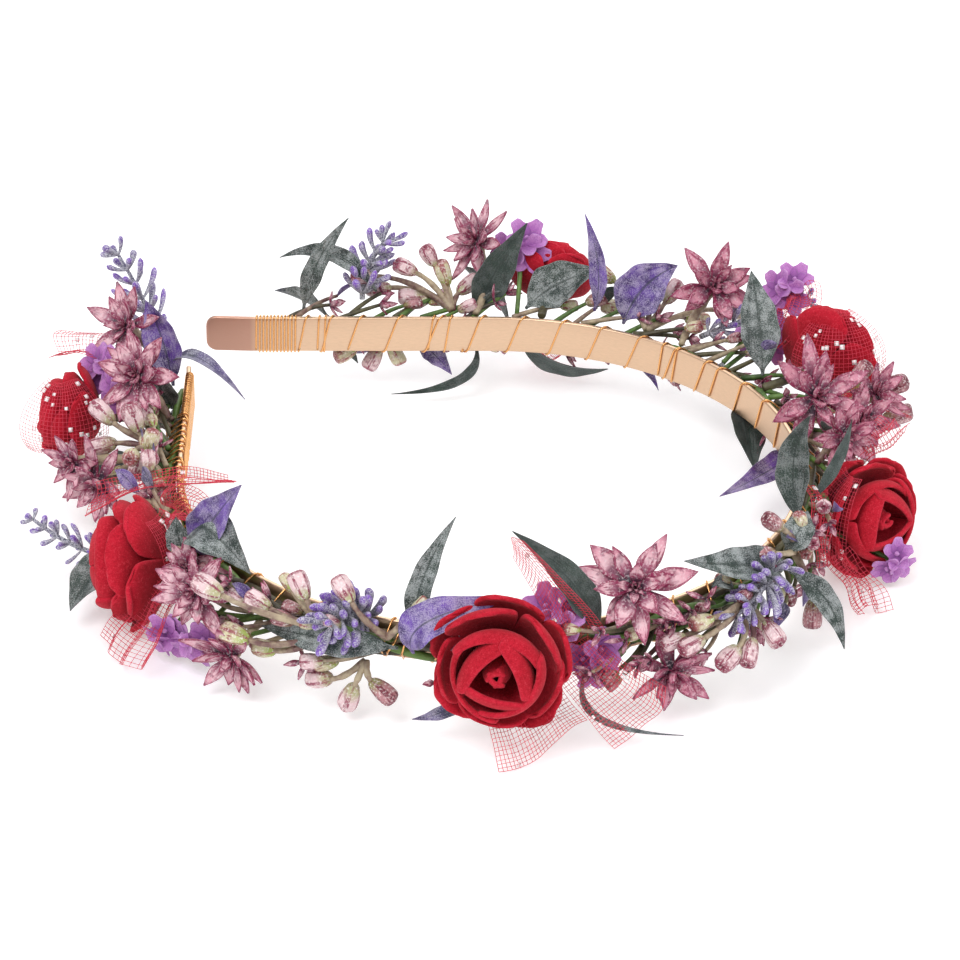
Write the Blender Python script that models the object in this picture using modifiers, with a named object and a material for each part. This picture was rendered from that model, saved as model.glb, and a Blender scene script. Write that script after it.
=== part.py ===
"""Flower crown: a flat metal headband with an artificial garland lashed round its outer side.

The strip stands on edge and runs, seen from above, along a straight back leg, round a
three-quarter bend and along a straight side leg. A place on the crown is written as
(along, out, up): along is the share of the strip's length from the back tip, out is the
distance from the strip's middle away from the head, and up is the height over its middle.
Units are metres, +Z is up, and the origin is under the middle of the whole crown.
"""
import math

import bmesh
import bpy
from mathutils import Vector

MM = 0.001

# Headband strip
BEND_RADIUS = 62 * MM
BACK_LEG = 60 * MM
SIDE_LEG = 42 * MM
STRIP_HEIGHT = 8 * MM
STRIP_THICKNESS = 1 * MM
TIP_ROUNDING = 2.2 * MM
TIP_FLARE = 3
BAND_LIFT = 12 * MM

# Wires and garland stems
WIRE_RADIUS = 0.2 * MM
COIL_PITCH = 1.0 * MM
COIL_TURNS = 9
COIL_START = 10.5 * MM
BARE_TIP = 9.5 * MM
LASH_PITCH = 14 * MM
LASH_BREAK = 2.8 * MM
LASH_FLAT = 0.4
STEM_RADIUS = 0.9 * MM
CLEARANCE = 0.3 * MM

# Flowers and leaves
ROSE_DIAMETER = 24 * MM
STAR_DIAMETER = 17 * MM
LILAC_DIAMETER = 10 * MM
LAVENDER_THICKNESS = 7 * MM
BUD_LENGTH = 5.5 * MM
BUD_THICKNESS = 3.8 * MM
STALK_RADIUS = 0.6 * MM
ROSE_SEAT = 0.8
LEAF_THICKNESS = 0.5 * MM
NET_THICKNESS = 0.8 * MM
NET_WAVE = 1.2 * MM
LEAF_STALK_WIDTH = 1.0 * MM
LEAF_FOLD = 0.2
STALK_BOW = 0.15
STALK_LIFT = 0.4
LAVENDER_BARE = 0.25
LAVENDER_WAIST = 0.62
BUD_STALK = 0.45
BUD_SPLAY = 1.1
JOINT_DEPTH = 0.2 * MM

# Worked out from the sizes above
BEND_LENGTH = 1.5 * math.pi * BEND_RADIUS
STRIP_LENGTH = BACK_LEG + BEND_LENGTH + SIDE_LEG
STRIP_MIDDLE = BAND_LIFT + STRIP_HEIGHT / 2
STEM_OUT = STRIP_THICKNESS / 2 + CLEARANCE + STEM_RADIUS
WIRE_GAP = CLEARANCE + WIRE_RADIUS
CORE_OUT = STEM_OUT + STEM_RADIUS + 2 * WIRE_GAP + CLEARANCE

# name, along, out, up (None stands it on the floor), size, swing along the strip, pitch upward
ROSES = (
    ("rose_left_back", 0.958, 24 * MM, -1 * MM, 0.80, 0, 10),
    ("rose_left_front", 0.836, 14 * MM, None, 1.05, 24, 0),
    ("rose_front", 0.644, 14 * MM, 3 * MM, 1.05, -3, 24),
    ("rose_right_front", 0.419, 14 * MM, -5.3 * MM, 0.96, 36, 12),
    ("rose_right_back", 0.315, 21 * MM, 7 * MM, 0.92, -22, 12),
    ("rose_back", 0.179, 16 * MM, 7 * MM, 0.74, 0, 30),
)

# name, along, out, up, size, swing, pitch
STAR_FLOWERS = (
    ("star_flower_left_tip", 0.990, 9 * MM, 15 * MM, 0.95, -10, 60),
    ("star_flower_left_upper", 0.930, 10 * MM, 13 * MM, 1.0, -20, 50),
    ("star_flower_left_lower", 0.905, 14 * MM, -7 * MM, 0.9, -20, -10),
    ("star_flower_front_left", 0.777, 15 * MM, 3 * MM, 1.0, -10, 30),
    ("star_flower_low_left", 0.745, 12 * MM, -9 * MM, 0.95, 0, -20),
    ("star_flower_front_right", 0.565, 11 * MM, 14 * MM, 1.2, 8, 40),
    ("star_flower_low_right", 0.560, 13 * MM, -7 * MM, 1.05, 0, 0),
    ("star_flower_right_upper", 0.372, 8 * MM, 14 * MM, 1.15, 35, 45),
    ("star_flower_right_outer", 0.362, 20 * MM, 5 * MM, 0.95, 10, 15),
    ("star_flower_back_right", 0.252, 14 * MM, 12 * MM, 1.1, -10, 45),
    ("star_flower_back", 0.135, 15 * MM, 13 * MM, 1.0, 0, 50),
)

# name, along, out, up, size, swing, pitch
LILAC_FLOWERS = (
    ("lilac_left", 0.987, 17 * MM, 6 * MM, 0.8, -20, 40),
    ("lilac_front_left", 0.790, 14 * MM, -9 * MM, 1.1, 20, -10),
    ("lilac_front", 0.596, 9 * MM, 8 * MM, 1.1, 0, 45),
    ("lilac_right", 0.452, 26 * MM, -9 * MM, 0.8, 40, -10),
    ("lilac_right_back", 0.284, 14 * MM, 4 * MM, 1.1, 0, 40),
)

# name, places of the spike's root, middle and tip as (along, out, up)
LAVENDER_SPRIGS = (
    ("lavender_left_tip", (1.015, 6 * MM, 4 * MM), (1.035, 9 * MM, 12 * MM), (1.060, 14 * MM, 26 * MM)),
    ("lavender_left_front", (0.872, 7 * MM, -3 * MM), (0.874, 18 * MM, -1 * MM), (0.876, 31 * MM, 4 * MM)),
    ("lavender_front_left", (0.703, 6 * MM, 3 * MM), (0.712, 12 * MM, 5 * MM), (0.722, 21 * MM, 3 * MM)),
    ("lavender_right_front", (0.510, 8 * MM, 0 * MM), (0.513, 14 * MM, 4 * MM), (0.520, 21 * MM, -2 * MM)),
    ("lavender_back_right", (0.262, 7 * MM, 2 * MM), (0.272, 17 * MM, 0 * MM), (0.284, 28 * MM, 3 * MM)),
    ("lavender_back_left", (0.070, 6 * MM, 5 * MM), (0.083, 7 * MM, 10 * MM), (0.089, 7 * MM, 17 * MM)),
)

# name, root, middle and end of the stem, and its number of buds
BUD_SPRIGS = (
    ("buds_left", (0.915, 6 * MM, 5 * MM), (0.900, 14 * MM, 7 * MM), (0.885, 20 * MM, 12 * MM), 4),
    ("buds_front_left", (0.760, 5 * MM, 5 * MM), (0.752, 7 * MM, 12 * MM), (0.738, 9 * MM, 17 * MM), 4),
    ("buds_hanging", (0.690, 5 * MM, -4 * MM), (0.690, 10 * MM, -7 * MM), (0.686, 14 * MM, -10 * MM), 3),
    ("buds_front_right", (0.535, 6 * MM, 2 * MM), (0.537, 12 * MM, 3 * MM), (0.541, 20 * MM, 5 * MM), 4),
    ("buds_right", (0.480, 5 * MM, 5 * MM), (0.480, 7 * MM, 11 * MM), (0.476, 8 * MM, 18 * MM), 3),
    ("buds_right_back", (0.338, 8 * MM, -2 * MM), (0.340, 18 * MM, -4 * MM), (0.342, 29 * MM, -5 * MM), 4),
    ("buds_back_right", (0.225, 5 * MM, 4 * MM), (0.222, 8 * MM, 9 * MM), (0.218, 10 * MM, 14 * MM), 3),
    ("buds_back_left", (0.115, 5 * MM, 3 * MM), (0.112, 8 * MM, 6 * MM), (0.105, 11 * MM, 10 * MM), 4),
    ("buds_below_back", (0.086, 5 * MM, -4 * MM), (0.086, 7 * MM, -7 * MM), (0.086, 9 * MM, -9.73 * MM), 3),
)

# name, root, middle and tip of the midrib, width, and roll about the midrib
LEAVES = (
    ("leaf_left_tip", (1.0, 5 * MM, 3 * MM), (1.01, 4 * MM, 12 * MM), (1.0, 3 * MM, 20 * MM), 5 * MM, 0),
    ("leaf_left_front", (0.812, 5 * MM, 6 * MM), (0.806, 4 * MM, 15 * MM), (0.795, 2 * MM, 24 * MM), 8 * MM, 20),
    ("leaf_front_upright", (0.672, 4.8 * MM, 6 * MM), (0.668, 4 * MM, 18 * MM), (0.655, 4 * MM, 30 * MM), 6 * MM, 10),
    ("leaf_front_purple", (0.684, 5.4 * MM, 4 * MM), (0.673, 9 * MM, 13 * MM), (0.648, 7 * MM, 20 * MM), 6 * MM, 60),
    ("leaf_front_right", (0.605, 5 * MM, -3 * MM), (0.610, 12 * MM, -9 * MM), (0.585, 20 * MM, -14 * MM), 3 * MM, 0),
    ("leaf_right_frosted", (0.492, 6 * MM, 1 * MM), (0.488, 14 * MM, -3 * MM), (0.486, 22 * MM, -12 * MM), 6 * MM, 30),
    ("leaf_right_upright", (0.450, 5 * MM, 6 * MM), (0.455, 4 * MM, 14 * MM), (0.462, 5 * MM, 26 * MM), 6 * MM, 10),
    ("leaf_right_inner", (0.346, 4 * MM, -7 * MM), (0.356, -3 * MM, -8 * MM), (0.388, -14 * MM, -5 * MM), 7 * MM, 60),
    ("leaf_right_back", (0.330, 4.5 * MM, 7 * MM), (0.320, 8 * MM, 13 * MM), (0.300, 10 * MM, 20 * MM), 7 * MM, 30),
    ("leaf_back_purple", (0.208, 4.8 * MM, 6 * MM), (0.210, 4 * MM, 16 * MM), (0.204, 3 * MM, 29 * MM), 5 * MM, 0),
    ("leaf_back_left", (0.060, 5 * MM, 4 * MM), (0.062, 5 * MM, 14 * MM), (0.075, 4 * MM, 24 * MM), 8 * MM, 0),
    ("leaf_below_back", (0.150, 5 * MM, -5 * MM), (0.130, 4 * MM, -8 * MM), (0.095, 2 * MM, -13 * MM), 3 * MM, 80),
)

# name, place of the middle, width, length, swing and pitch of its face
NET_PIECES = (
    ("net_left_front", (0.795, 22.5 * MM, -7 * MM), 13 * MM, 14 * MM, 10, 10),
    ("net_front", (0.604, 25 * MM, -8 * MM), 17 * MM, 12 * MM, 10, 20),
    ("net_right_front", (0.464, 13 * MM, -9 * MM), 12 * MM, 10 * MM, 20, 10),
)


def new_material(name, colour, roughness, metallic=0.0):
    """A Principled material of one colour."""
    material = bpy.data.materials.new(name)
    material.use_nodes = True
    shader = material.node_tree.nodes["Principled BSDF"]
    shader.inputs["Base Color"].default_value = (*colour, 1.0)
    shader.inputs["Roughness"].default_value = roughness
    shader.inputs["Metallic"].default_value = metallic
    return material


def strip_frame(along):
    """Middle of the strip, its running direction and its outward direction at a share of its length."""
    length = along * STRIP_LENGTH
    if length < BACK_LEG:
        middle = Vector((length - BACK_LEG, BEND_RADIUS, STRIP_MIDDLE))
        run = Vector((1, 0, 0))
    elif length < BACK_LEG + BEND_LENGTH:
        angle = math.pi / 2 - (length - BACK_LEG) / BEND_RADIUS
        middle = Vector((BEND_RADIUS * math.cos(angle), BEND_RADIUS * math.sin(angle), STRIP_MIDDLE))
        run = Vector((math.sin(angle), -math.cos(angle), 0))
    else:
        middle = Vector((-BEND_RADIUS, length - BACK_LEG - BEND_LENGTH, STRIP_MIDDLE))
        run = Vector((0, 1, 0))
    outward = Vector((-run.y, run.x, 0))
    return middle, run, outward


def place(along, out, up):
    """The point at a place on the crown."""
    middle, run, outward = strip_frame(along)
    return middle + outward * out + Vector((0, 0, up))


def direction(along, swing, pitch):
    """Outward direction, swung along the strip and pitched upward by angles in degrees."""
    run, outward = strip_frame(along)[1:]
    level = outward * math.cos(math.radians(swing)) + run * math.sin(math.radians(swing))
    pitch = math.radians(pitch)
    return level * math.cos(pitch) + Vector((0, 0, 1)) * math.sin(pitch)


def arch(start, middle, end, share):
    """Point at a share of the way along a smooth arch through three points."""
    control = middle * 2 - (start + end) / 2
    rest = 1 - share
    return start * rest * rest + control * 2 * rest * share + end * share * share


def arch_run(start, middle, end, share):
    """Running direction of the same arch."""
    step = 0.01
    before = arch(start, middle, end, share - step)
    after = arch(start, middle, end, share + step)
    return (after - before).normalized()


def add_object(name, data, material):
    """A new object in the crown's collection, under its parent empty."""
    item = bpy.data.objects.new(name, data)
    data.materials.append(material)
    crown.objects.link(item)
    item.parent = base
    return item


def add_tube(name, points, radius, material):
    """A round wire or stem through a list of points, with filled caps."""
    curve = bpy.data.curves.new(name, "CURVE")
    curve.dimensions = "3D"
    curve.bevel_depth = radius
    curve.bevel_resolution = 2
    curve.use_fill_caps = True
    spline = curve.splines.new("POLY")
    spline.points.add(len(points) - 1)
    for spline_point, point in zip(spline.points, points):
        spline_point.co = (*point, 1.0)
    return add_object(name, curve, material)


def loft_mesh(name, rings, sides):
    """A closed round mesh through rings, front to back.

    A ring is (centre, axis, tip radius, valley radius, tip shift): its radius swings between
    tip and valley from one side to the next, and its tips stand forward by the shift.
    """
    rows = len(rings) + 1
    shape = bmesh.new()
    bmesh.ops.create_uvsphere(shape, u_segments=sides, v_segments=rows, radius=1.0)
    turns = [Vector((0, 0, 1)).rotation_difference(rings[0][1])]
    for before, ring in zip(rings, rings[1:]):
        turns.append(before[1].rotation_difference(ring[1]) @ turns[-1])
    for vertex in shape.verts:
        row = round(math.acos(max(-1.0, min(1.0, vertex.co.z))) * rows / math.pi)
        angle = math.atan2(vertex.co.y, vertex.co.x)
        index = min(max(row - 1, 0), len(rings) - 1)
        centre, axis, tip, valley, shift = rings[index]
        if row in (0, rows):
            vertex.co = centre
            continue
        share = (1 + math.cos(angle * sides / 2)) / 2
        radius = valley + (tip - valley) * share
        across = Vector((radius * math.cos(angle), radius * math.sin(angle), shift * share))
        vertex.co = centre + turns[index] @ across
    mesh = bpy.data.meshes.new(name)
    shape.to_mesh(mesh)
    shape.free()
    return mesh


def stalk_rings(head, facing, root, start):
    """Rings of a stalk that leaves the back of a flower head and bends to its root."""
    back = head - facing * start
    middle = (back + root) / 2 - facing * (back - root).length * STALK_BOW
    rings = []
    for share in (0.1, 1.0):
        point = arch(back, middle, root, share)
        axis = -arch_run(back, middle, root, share)
        rings.append((point, axis, STALK_RADIUS, STALK_RADIUS, 0.0))
    return rings


def flower_root(along, up):
    """Where a flower's stalk starts, on the outer side of the lashed stem."""
    lift = max(-STRIP_HEIGHT / 2, min(STRIP_HEIGHT / 2, up * STALK_LIFT))
    return place(along, CORE_OUT + STALK_RADIUS, lift)


def add_flower(spec, diameter, profile, sides, material, seat=0.0):
    """A flower head and its stalk as one body, from a profile in shares of the head's radius.

    The head stands at least seat times its radius outside the lashed stem.
    """
    name, along, out, up, size, swing, pitch = spec
    radius = diameter / 2 * size
    out = max(out, CORE_OUT + radius * seat)
    if up is None:
        up = radius - STRIP_MIDDLE
    head = place(along, out, up)
    facing = direction(along, swing, pitch)
    rings = []
    for height, tip, valley, shift in profile:
        centre = head + facing * (height * radius)
        rings.append((centre, facing, tip * radius, valley * radius, shift * radius))
    rings += stalk_rings(head, facing, flower_root(along, up), -profile[-1][0] * radius + STALK_RADIUS)
    return add_object(name, loft_mesh(name, rings, sides), material)


ROSE_PROFILE = (
    (0.62, 0.16, 0.14, 0.0),
    (0.66, 0.34, 0.30, 0.0),
    (0.40, 0.44, 0.42, 0.0),
    (0.60, 0.66, 0.60, 0.0),
    (0.30, 0.76, 0.74, 0.0),
    (0.36, 1.00, 0.93, 0.0),
    (-0.10, 0.97, 0.90, 0.0),
    (-0.55, 0.62, 0.58, 0.0),
    (-0.75, 0.20, 0.20, 0.0),
)

STAR_PROFILE = (
    (0.20, 0.16, 0.14, 0.0),
    (0.08, 0.34, 0.26, 0.0),
    (0.02, 1.00, 0.36, 0.22),
    (-0.08, 0.94, 0.32, 0.20),
    (-0.28, 0.16, 0.16, 0.0),
)

LILAC_PROFILE = (
    (0.30, 0.28, 0.22, 0.0),
    (0.20, 1.00, 0.62, 0.10),
    (-0.05, 0.92, 0.55, 0.10),
    (-0.40, 0.24, 0.24, 0.0),
)


def add_lavender(spec, material):
    """A spike with whorls of florets on a bent stalk."""
    name, root, middle, tip = spec
    points = [place(*root), place(*middle), place(*tip)]
    whorls = 5
    tip_share = 0.45
    taper_rate = 2.2
    rings = []
    for index in range(2 * whorls + 1):
        share = 1 - (1 - LAVENDER_BARE) * index / (2 * whorls)
        taper = min(1.0, tip_share + taper_rate * (1 - share))
        swell = 1.0 if index % 2 else LAVENDER_WAIST
        radius = LAVENDER_THICKNESS / 2 * taper * swell
        rings.append((arch(*points, share), arch_run(*points, share), radius, radius * 0.8, 0.0))
    for share in (LAVENDER_BARE * 2 / 3, LAVENDER_BARE / 3, 0.0):
        rings.append((arch(*points, share), arch_run(*points, share), STALK_RADIUS, STALK_RADIUS, 0.0))
    return add_object(name, loft_mesh(name, rings, 6), material)


def bud_mesh(root, heading):
    """A faceted bud on a short stalk."""
    profile = ((1.0, 0.30), (0.62, 1.0), (0.30, 0.95), (0.02, 0.35))
    start = BUD_LENGTH * BUD_STALK
    rings = []
    for height, share in profile:
        centre = root + heading * (start + height * BUD_LENGTH)
        rings.append((centre, heading, share * BUD_THICKNESS / 2, share * BUD_THICKNESS / 2, 0.0))
    rings.append((root, heading, STALK_RADIUS * 0.8, STALK_RADIUS * 0.8, 0.0))
    return loft_mesh("bud", rings, 6)


def add_bud_sprig(spec, material):
    """A bent stem that carries buds on alternate sides and one at its end, joined to one body."""
    name, root, middle, end, count = spec
    points = [place(*root), place(*middle), place(*end)]
    rings = []
    for share in (1.0, 0.5, 0.0):
        rings.append((arch(*points, share), arch_run(*points, share), STALK_RADIUS, STALK_RADIUS, 0.0))
    sprig = add_object(name, loft_mesh(name, rings, 6), material)
    last_bud = 0.95
    bud_spread = 0.62
    extras = []
    for index in range(count):
        share = last_bud - bud_spread * index / count
        run = arch_run(*points, share)
        side = run.cross(Vector((0, 0, 1))).normalized()
        across = 0 if index == 0 else (1 if index % 2 else -1)
        heading = (run + side * across * BUD_SPLAY).normalized()
        bud = bpy.data.objects.new("bud", bud_mesh(arch(*points, share) - heading * JOINT_DEPTH, heading))
        cutters.objects.link(bud)
        bud.parent = base
        extras.append(bud)
        union = sprig.modifiers.new("join", "BOOLEAN")
        union.operation = "UNION"
        union.object = bud
    bpy.context.view_layer.update()
    mesh = bpy.data.meshes.new_from_object(sprig.evaluated_get(bpy.context.evaluated_depsgraph_get()))
    sprig.modifiers.clear()
    sprig.data = mesh
    for bud in extras:
        bpy.data.objects.remove(bud)
    return sprig


def add_leaf(spec, material):
    """A pointed blade with a short stalk, bent along an arch and folded a little at its midrib."""
    name, root, middle, tip, width, roll = spec
    points = [place(*root), place(*middle), place(*tip)]
    outline_start = 0.12
    outline_power = 0.8
    shape = bmesh.new()
    bmesh.ops.create_grid(shape, x_segments=6, y_segments=2, size=0.5)
    for vertex in shape.verts:
        share = vertex.co.x + 0.5
        side = round(vertex.co.y * 2)
        run = arch_run(*points, share)
        level = run.cross(Vector((0, 0, 1)))
        if level.length < 0.2:
            level = strip_frame(root[0])[1]
        level = (level - run * level.dot(run)).normalized()
        rise = run.cross(level)
        roll_angle = math.radians(roll)
        across = level * math.cos(roll_angle) + rise * math.sin(roll_angle)
        fold = run.cross(across)
        blade_share = min(1.0, max(0.0, share * (1 + outline_start) - outline_start))
        half = max(LEAF_STALK_WIDTH / 2, width / 2 * math.sin(math.pi * blade_share ** outline_power))
        vertex.co = arch(*points, share) + across * side * half + fold * abs(side) * half * LEAF_FOLD
    mesh = bpy.data.meshes.new(name)
    shape.to_mesh(mesh)
    shape.free()
    leaf = add_object(name, mesh, material)
    shell = leaf.modifiers.new("blade", "SOLIDIFY")
    shell.thickness = LEAF_THICKNESS
    shell.offset = 0
    return leaf


def add_net(spec, material):
    """A loosely waved piece of net, as one thin slab."""
    name, middle, width, length, swing, pitch = spec
    centre = place(*middle)
    facing = direction(middle[0], swing, pitch)
    level = Vector((0, 0, 1)).cross(facing).normalized()
    rise = facing.cross(level)
    fullness = 0.6
    shape = bmesh.new()
    bmesh.ops.create_grid(shape, x_segments=6, y_segments=4, size=0.5)
    for vertex in shape.verts:
        ripple = NET_WAVE * math.sin(vertex.co.x * 2 * math.pi) * (fullness - vertex.co.y)
        vertex.co = centre + level * vertex.co.x * width + rise * vertex.co.y * length + facing * ripple
    mesh = bpy.data.meshes.new(name)
    shape.to_mesh(mesh)
    shape.free()
    net = add_object(name, mesh, material)
    slab = net.modifiers.new("slab", "SOLIDIFY")
    slab.thickness = NET_THICKNESS
    slab.offset = 0
    return net


def strip_lengths():
    """Lengths along the strip at which its outline is set, with a flat face at each bare tip."""
    tip_steps = 4
    bend_steps = 36
    tip = []
    for step in range(tip_steps + 1):
        tip.append(TIP_ROUNDING * (1 - math.cos(math.pi / 2 * step / tip_steps)))
    tip.append(BARE_TIP)
    bend = [BACK_LEG + BEND_LENGTH * step / bend_steps for step in range(bend_steps + 1)]
    return tip + bend + [STRIP_LENGTH - length for length in reversed(tip)]


def tip_out(length):
    """How far the strip's middle stands out where its bare tips flare away from the head."""
    from_tip = min(length, STRIP_LENGTH - length)
    return max(0.0, BARE_TIP - from_tip) * math.tan(math.radians(TIP_FLARE))


def add_headband(material):
    """The strip on edge: a standing ribbon with rounded tips, thickened about its middle."""
    lengths = strip_lengths()
    last = len(lengths) - 1
    shape = bmesh.new()
    bmesh.ops.create_grid(shape, x_segments=last, y_segments=1, size=0.5)
    for vertex in shape.verts:
        length = lengths[round((vertex.co.x + 0.5) * last)]
        from_tip = min(length, STRIP_LENGTH - length)
        inset = min(1.0, max(0.0, 1 - from_tip / TIP_ROUNDING))
        half = STRIP_HEIGHT / 2 - TIP_ROUNDING * (1 - math.sqrt(1 - inset ** 2))
        vertex.co = place(length / STRIP_LENGTH, tip_out(length), half if vertex.co.y > 0 else -half)
    mesh = bpy.data.meshes.new("headband")
    shape.to_mesh(mesh)
    shape.free()
    band = add_object("headband", mesh, material)
    shell = band.modifiers.new("strip", "SOLIDIFY")
    shell.thickness = STRIP_THICKNESS
    shell.offset = 0
    return band


def winding(start, end, pitch, outline):
    """Points of a wire wound round the strip: an outline of (out, up) corners swept along it."""
    corners = len(outline)
    count = round((end - start) / pitch * corners)
    points = []
    for index in range(count + 1):
        out, up = outline[index % corners]
        points.append(place((start + (end - start) * index / count) / STRIP_LENGTH, out, up))
    return points


def add_wires(material):
    """Close coils at both tips, and two runs of open lashing round strip and stem."""
    side = STRIP_THICKNESS / 2 + WIRE_GAP
    edge = STRIP_HEIGHT / 2 + WIRE_GAP
    belly = STEM_OUT + STEM_RADIUS + WIRE_GAP
    coil = ((-side, -edge), (-side, edge), (side, edge), (side, -edge))
    coil_length = COIL_TURNS * COIL_PITCH
    far_start = STRIP_LENGTH - COIL_START - coil_length
    add_tube("wire_coil_back_tip", winding(COIL_START, COIL_START + coil_length, COIL_PITCH, coil),
             WIRE_RADIUS, material)
    add_tube("wire_coil_left_tip", winding(far_start, far_start + coil_length, COIL_PITCH, coil),
             WIRE_RADIUS, material)
    bow = (STEM_RADIUS + WIRE_GAP) * LASH_FLAT
    lash = ((-side, -edge), (-side, edge), (side, edge), (belly, bow), (belly, -bow), (side, -edge))
    first = COIL_START + coil_length + 2 * WIRE_GAP + WIRE_RADIUS
    last = far_start - 2 * WIRE_GAP - WIRE_RADIUS
    names = ("lashing_wire_back", "lashing_wire_front")
    run_length = (last - first) / len(names)
    for index, name in enumerate(names):
        start = first + index * run_length
        points = winding(start, start + run_length - LASH_BREAK, LASH_PITCH, lash)
        add_tube(name, points, WIRE_RADIUS, material)


def add_stems(material):
    """The garland's stem, in three lengths along the outer face of the strip."""
    first = COIL_START + COIL_TURNS * COIL_PITCH + 2 * WIRE_GAP
    last = STRIP_LENGTH - first
    names = ("garland_stem_back", "garland_stem_right", "garland_stem_left")
    run_length = (last - first) / len(names)
    steps = 13
    for index, name in enumerate(names):
        start = first + index * run_length
        points = []
        for step in range(steps + 1):
            length = start + (run_length - 2 * CLEARANCE) * step / steps
            points.append(place(length / STRIP_LENGTH, STEM_OUT, 0.0))
        add_tube(name, points, STEM_RADIUS, material)


def stand_on_origin():
    """Moves the whole crown so that the origin is under the middle of its box."""
    bpy.context.view_layer.update()
    graph = bpy.context.evaluated_depsgraph_get()
    corners = []
    for item in crown.objects:
        if item.type == "EMPTY":
            continue
        shaped = item.evaluated_get(graph)
        mesh = shaped.to_mesh()
        corners += [item.matrix_world @ vertex.co for vertex in mesh.vertices]
        shaped.to_mesh_clear()
    low = [min(corner[axis] for corner in corners) for axis in range(3)]
    high = [max(corner[axis] for corner in corners) for axis in range(3)]
    base.location = (-(low[0] + high[0]) / 2, -(low[1] + high[1]) / 2, -low[2])
    bpy.context.view_layer.update()


for old in list(bpy.data.objects):
    bpy.data.objects.remove(old)
crown = bpy.data.collections.new("flower_crown")
cutters = bpy.data.collections.new("joining_shapes")
bpy.context.scene.collection.children.link(crown)
bpy.context.scene.collection.children.link(cutters)
base = bpy.data.objects.new("crown_base", None)
crown.objects.link(base)

gold = new_material("rose_gold_metal", (0.84, 0.60, 0.42), 0.32, 1.0)
copper = new_material("gold_wire", (0.78, 0.46, 0.20), 0.28, 1.0)
stem_green = new_material("stem_green", (0.20, 0.30, 0.10), 0.5)
rose_red = new_material("foam_red", (0.52, 0.01, 0.04), 0.85)
dusty_pink = new_material("star_petal_pink", (0.50, 0.20, 0.27), 0.6)
lilac = new_material("lilac_fabric", (0.50, 0.25, 0.60), 0.8)
lavender_grey = new_material("lavender_flock", (0.30, 0.24, 0.48), 0.9)
bud_pink = new_material("bud_pink", (0.62, 0.42, 0.42), 0.5)
leaf_green = new_material("leaf_green", (0.07, 0.12, 0.08), 0.55)
net_red = new_material("net_red", (0.60, 0.03, 0.10), 0.8)

add_headband(gold)
add_wires(copper)
add_stems(stem_green)
for rose in ROSES:
    add_flower(rose, ROSE_DIAMETER, ROSE_PROFILE, 12, rose_red, ROSE_SEAT)
for star_flower in STAR_FLOWERS:
    add_flower(star_flower, STAR_DIAMETER, STAR_PROFILE, 14, dusty_pink)
for lilac_flower in LILAC_FLOWERS:
    add_flower(lilac_flower, LILAC_DIAMETER, LILAC_PROFILE, 10, lilac)
for lavender in LAVENDER_SPRIGS:
    add_lavender(lavender, lavender_grey)
for bud_sprig in BUD_SPRIGS:
    add_bud_sprig(bud_sprig, bud_pink)
for leaf_spec in LEAVES:
    add_leaf(leaf_spec, leaf_green)
for net_spec in NET_PIECES:
    add_net(net_spec, net_red)
stand_on_origin()
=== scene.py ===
"""Looks of the flower crown: every soft, leafy and metal piece at full detail.

A place on the crown is (length, out, up) in millimetres: length runs along the strip from
its back tip, out is the distance from the strip's middle away from the head, and up is the
height over its middle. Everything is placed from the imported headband's box. A piece whose name
starts with extra_ is not in the frame; any other stands for the frame node of its name.
"""
import math

import bmesh
import bpy
import numpy as np
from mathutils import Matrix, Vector


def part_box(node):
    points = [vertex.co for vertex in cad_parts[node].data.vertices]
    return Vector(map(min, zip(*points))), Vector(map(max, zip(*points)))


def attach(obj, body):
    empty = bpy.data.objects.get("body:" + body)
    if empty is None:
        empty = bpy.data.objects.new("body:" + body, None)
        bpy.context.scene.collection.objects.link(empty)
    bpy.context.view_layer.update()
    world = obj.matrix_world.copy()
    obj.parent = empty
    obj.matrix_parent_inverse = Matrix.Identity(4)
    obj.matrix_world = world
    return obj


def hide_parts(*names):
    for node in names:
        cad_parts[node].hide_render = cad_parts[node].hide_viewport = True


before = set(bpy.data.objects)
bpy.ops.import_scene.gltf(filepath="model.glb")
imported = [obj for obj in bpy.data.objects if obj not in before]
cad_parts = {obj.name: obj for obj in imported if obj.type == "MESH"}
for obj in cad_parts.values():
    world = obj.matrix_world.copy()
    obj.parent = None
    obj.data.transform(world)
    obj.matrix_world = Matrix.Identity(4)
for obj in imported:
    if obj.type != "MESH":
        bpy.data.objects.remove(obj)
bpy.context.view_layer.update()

MM = 0.001
BODY = "root"

# Headband, wire and stems, in millimetres and degrees
STRIP_THICKNESS = 1.0
STRIP_HEIGHT = 8.0
STRIP_ROUNDING = 0.32
BEND_RADIUS = 62.0
BACK_LEG = 60.0
SIDE_LEG = 42.0
TIP_ROUNDING = 2.2
BARE_TIP = 9.5
TIP_FLARE = 3
WIRE_RADIUS = 0.2
WIRE_SIDES = 8
LASHING_BELLY = 3.0
LASHING_WOBBLE = 0.5
STRANDS = 4
STRAND_RADIUS = 0.75
STRAND_TWIST = 46
STALK_OUT = 3.4
STALK_HIGHEST = 3.0

# Net: its mesh, thread radii and the square millimetres to a fleck; a veil's lift is in rose radii
NET_PITCH = 0.8
THREAD = 0.062
VEIL_THREAD = 0.050
FLECK_AREA = 40
VEIL_LIFT = 1.05

low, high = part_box("headband")
RING_CENTRE = np.array((high.x / MM - BEND_RADIUS - STRIP_THICKNESS / 2,
                        low.y / MM + BEND_RADIUS + STRIP_THICKNESS / 2, (low.z + high.z) / 2 / MM))
BEND_LENGTH = 1.5 * math.pi * BEND_RADIUS
STRIP_LENGTH = BACK_LEG + BEND_LENGTH + SIDE_LEG

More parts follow.
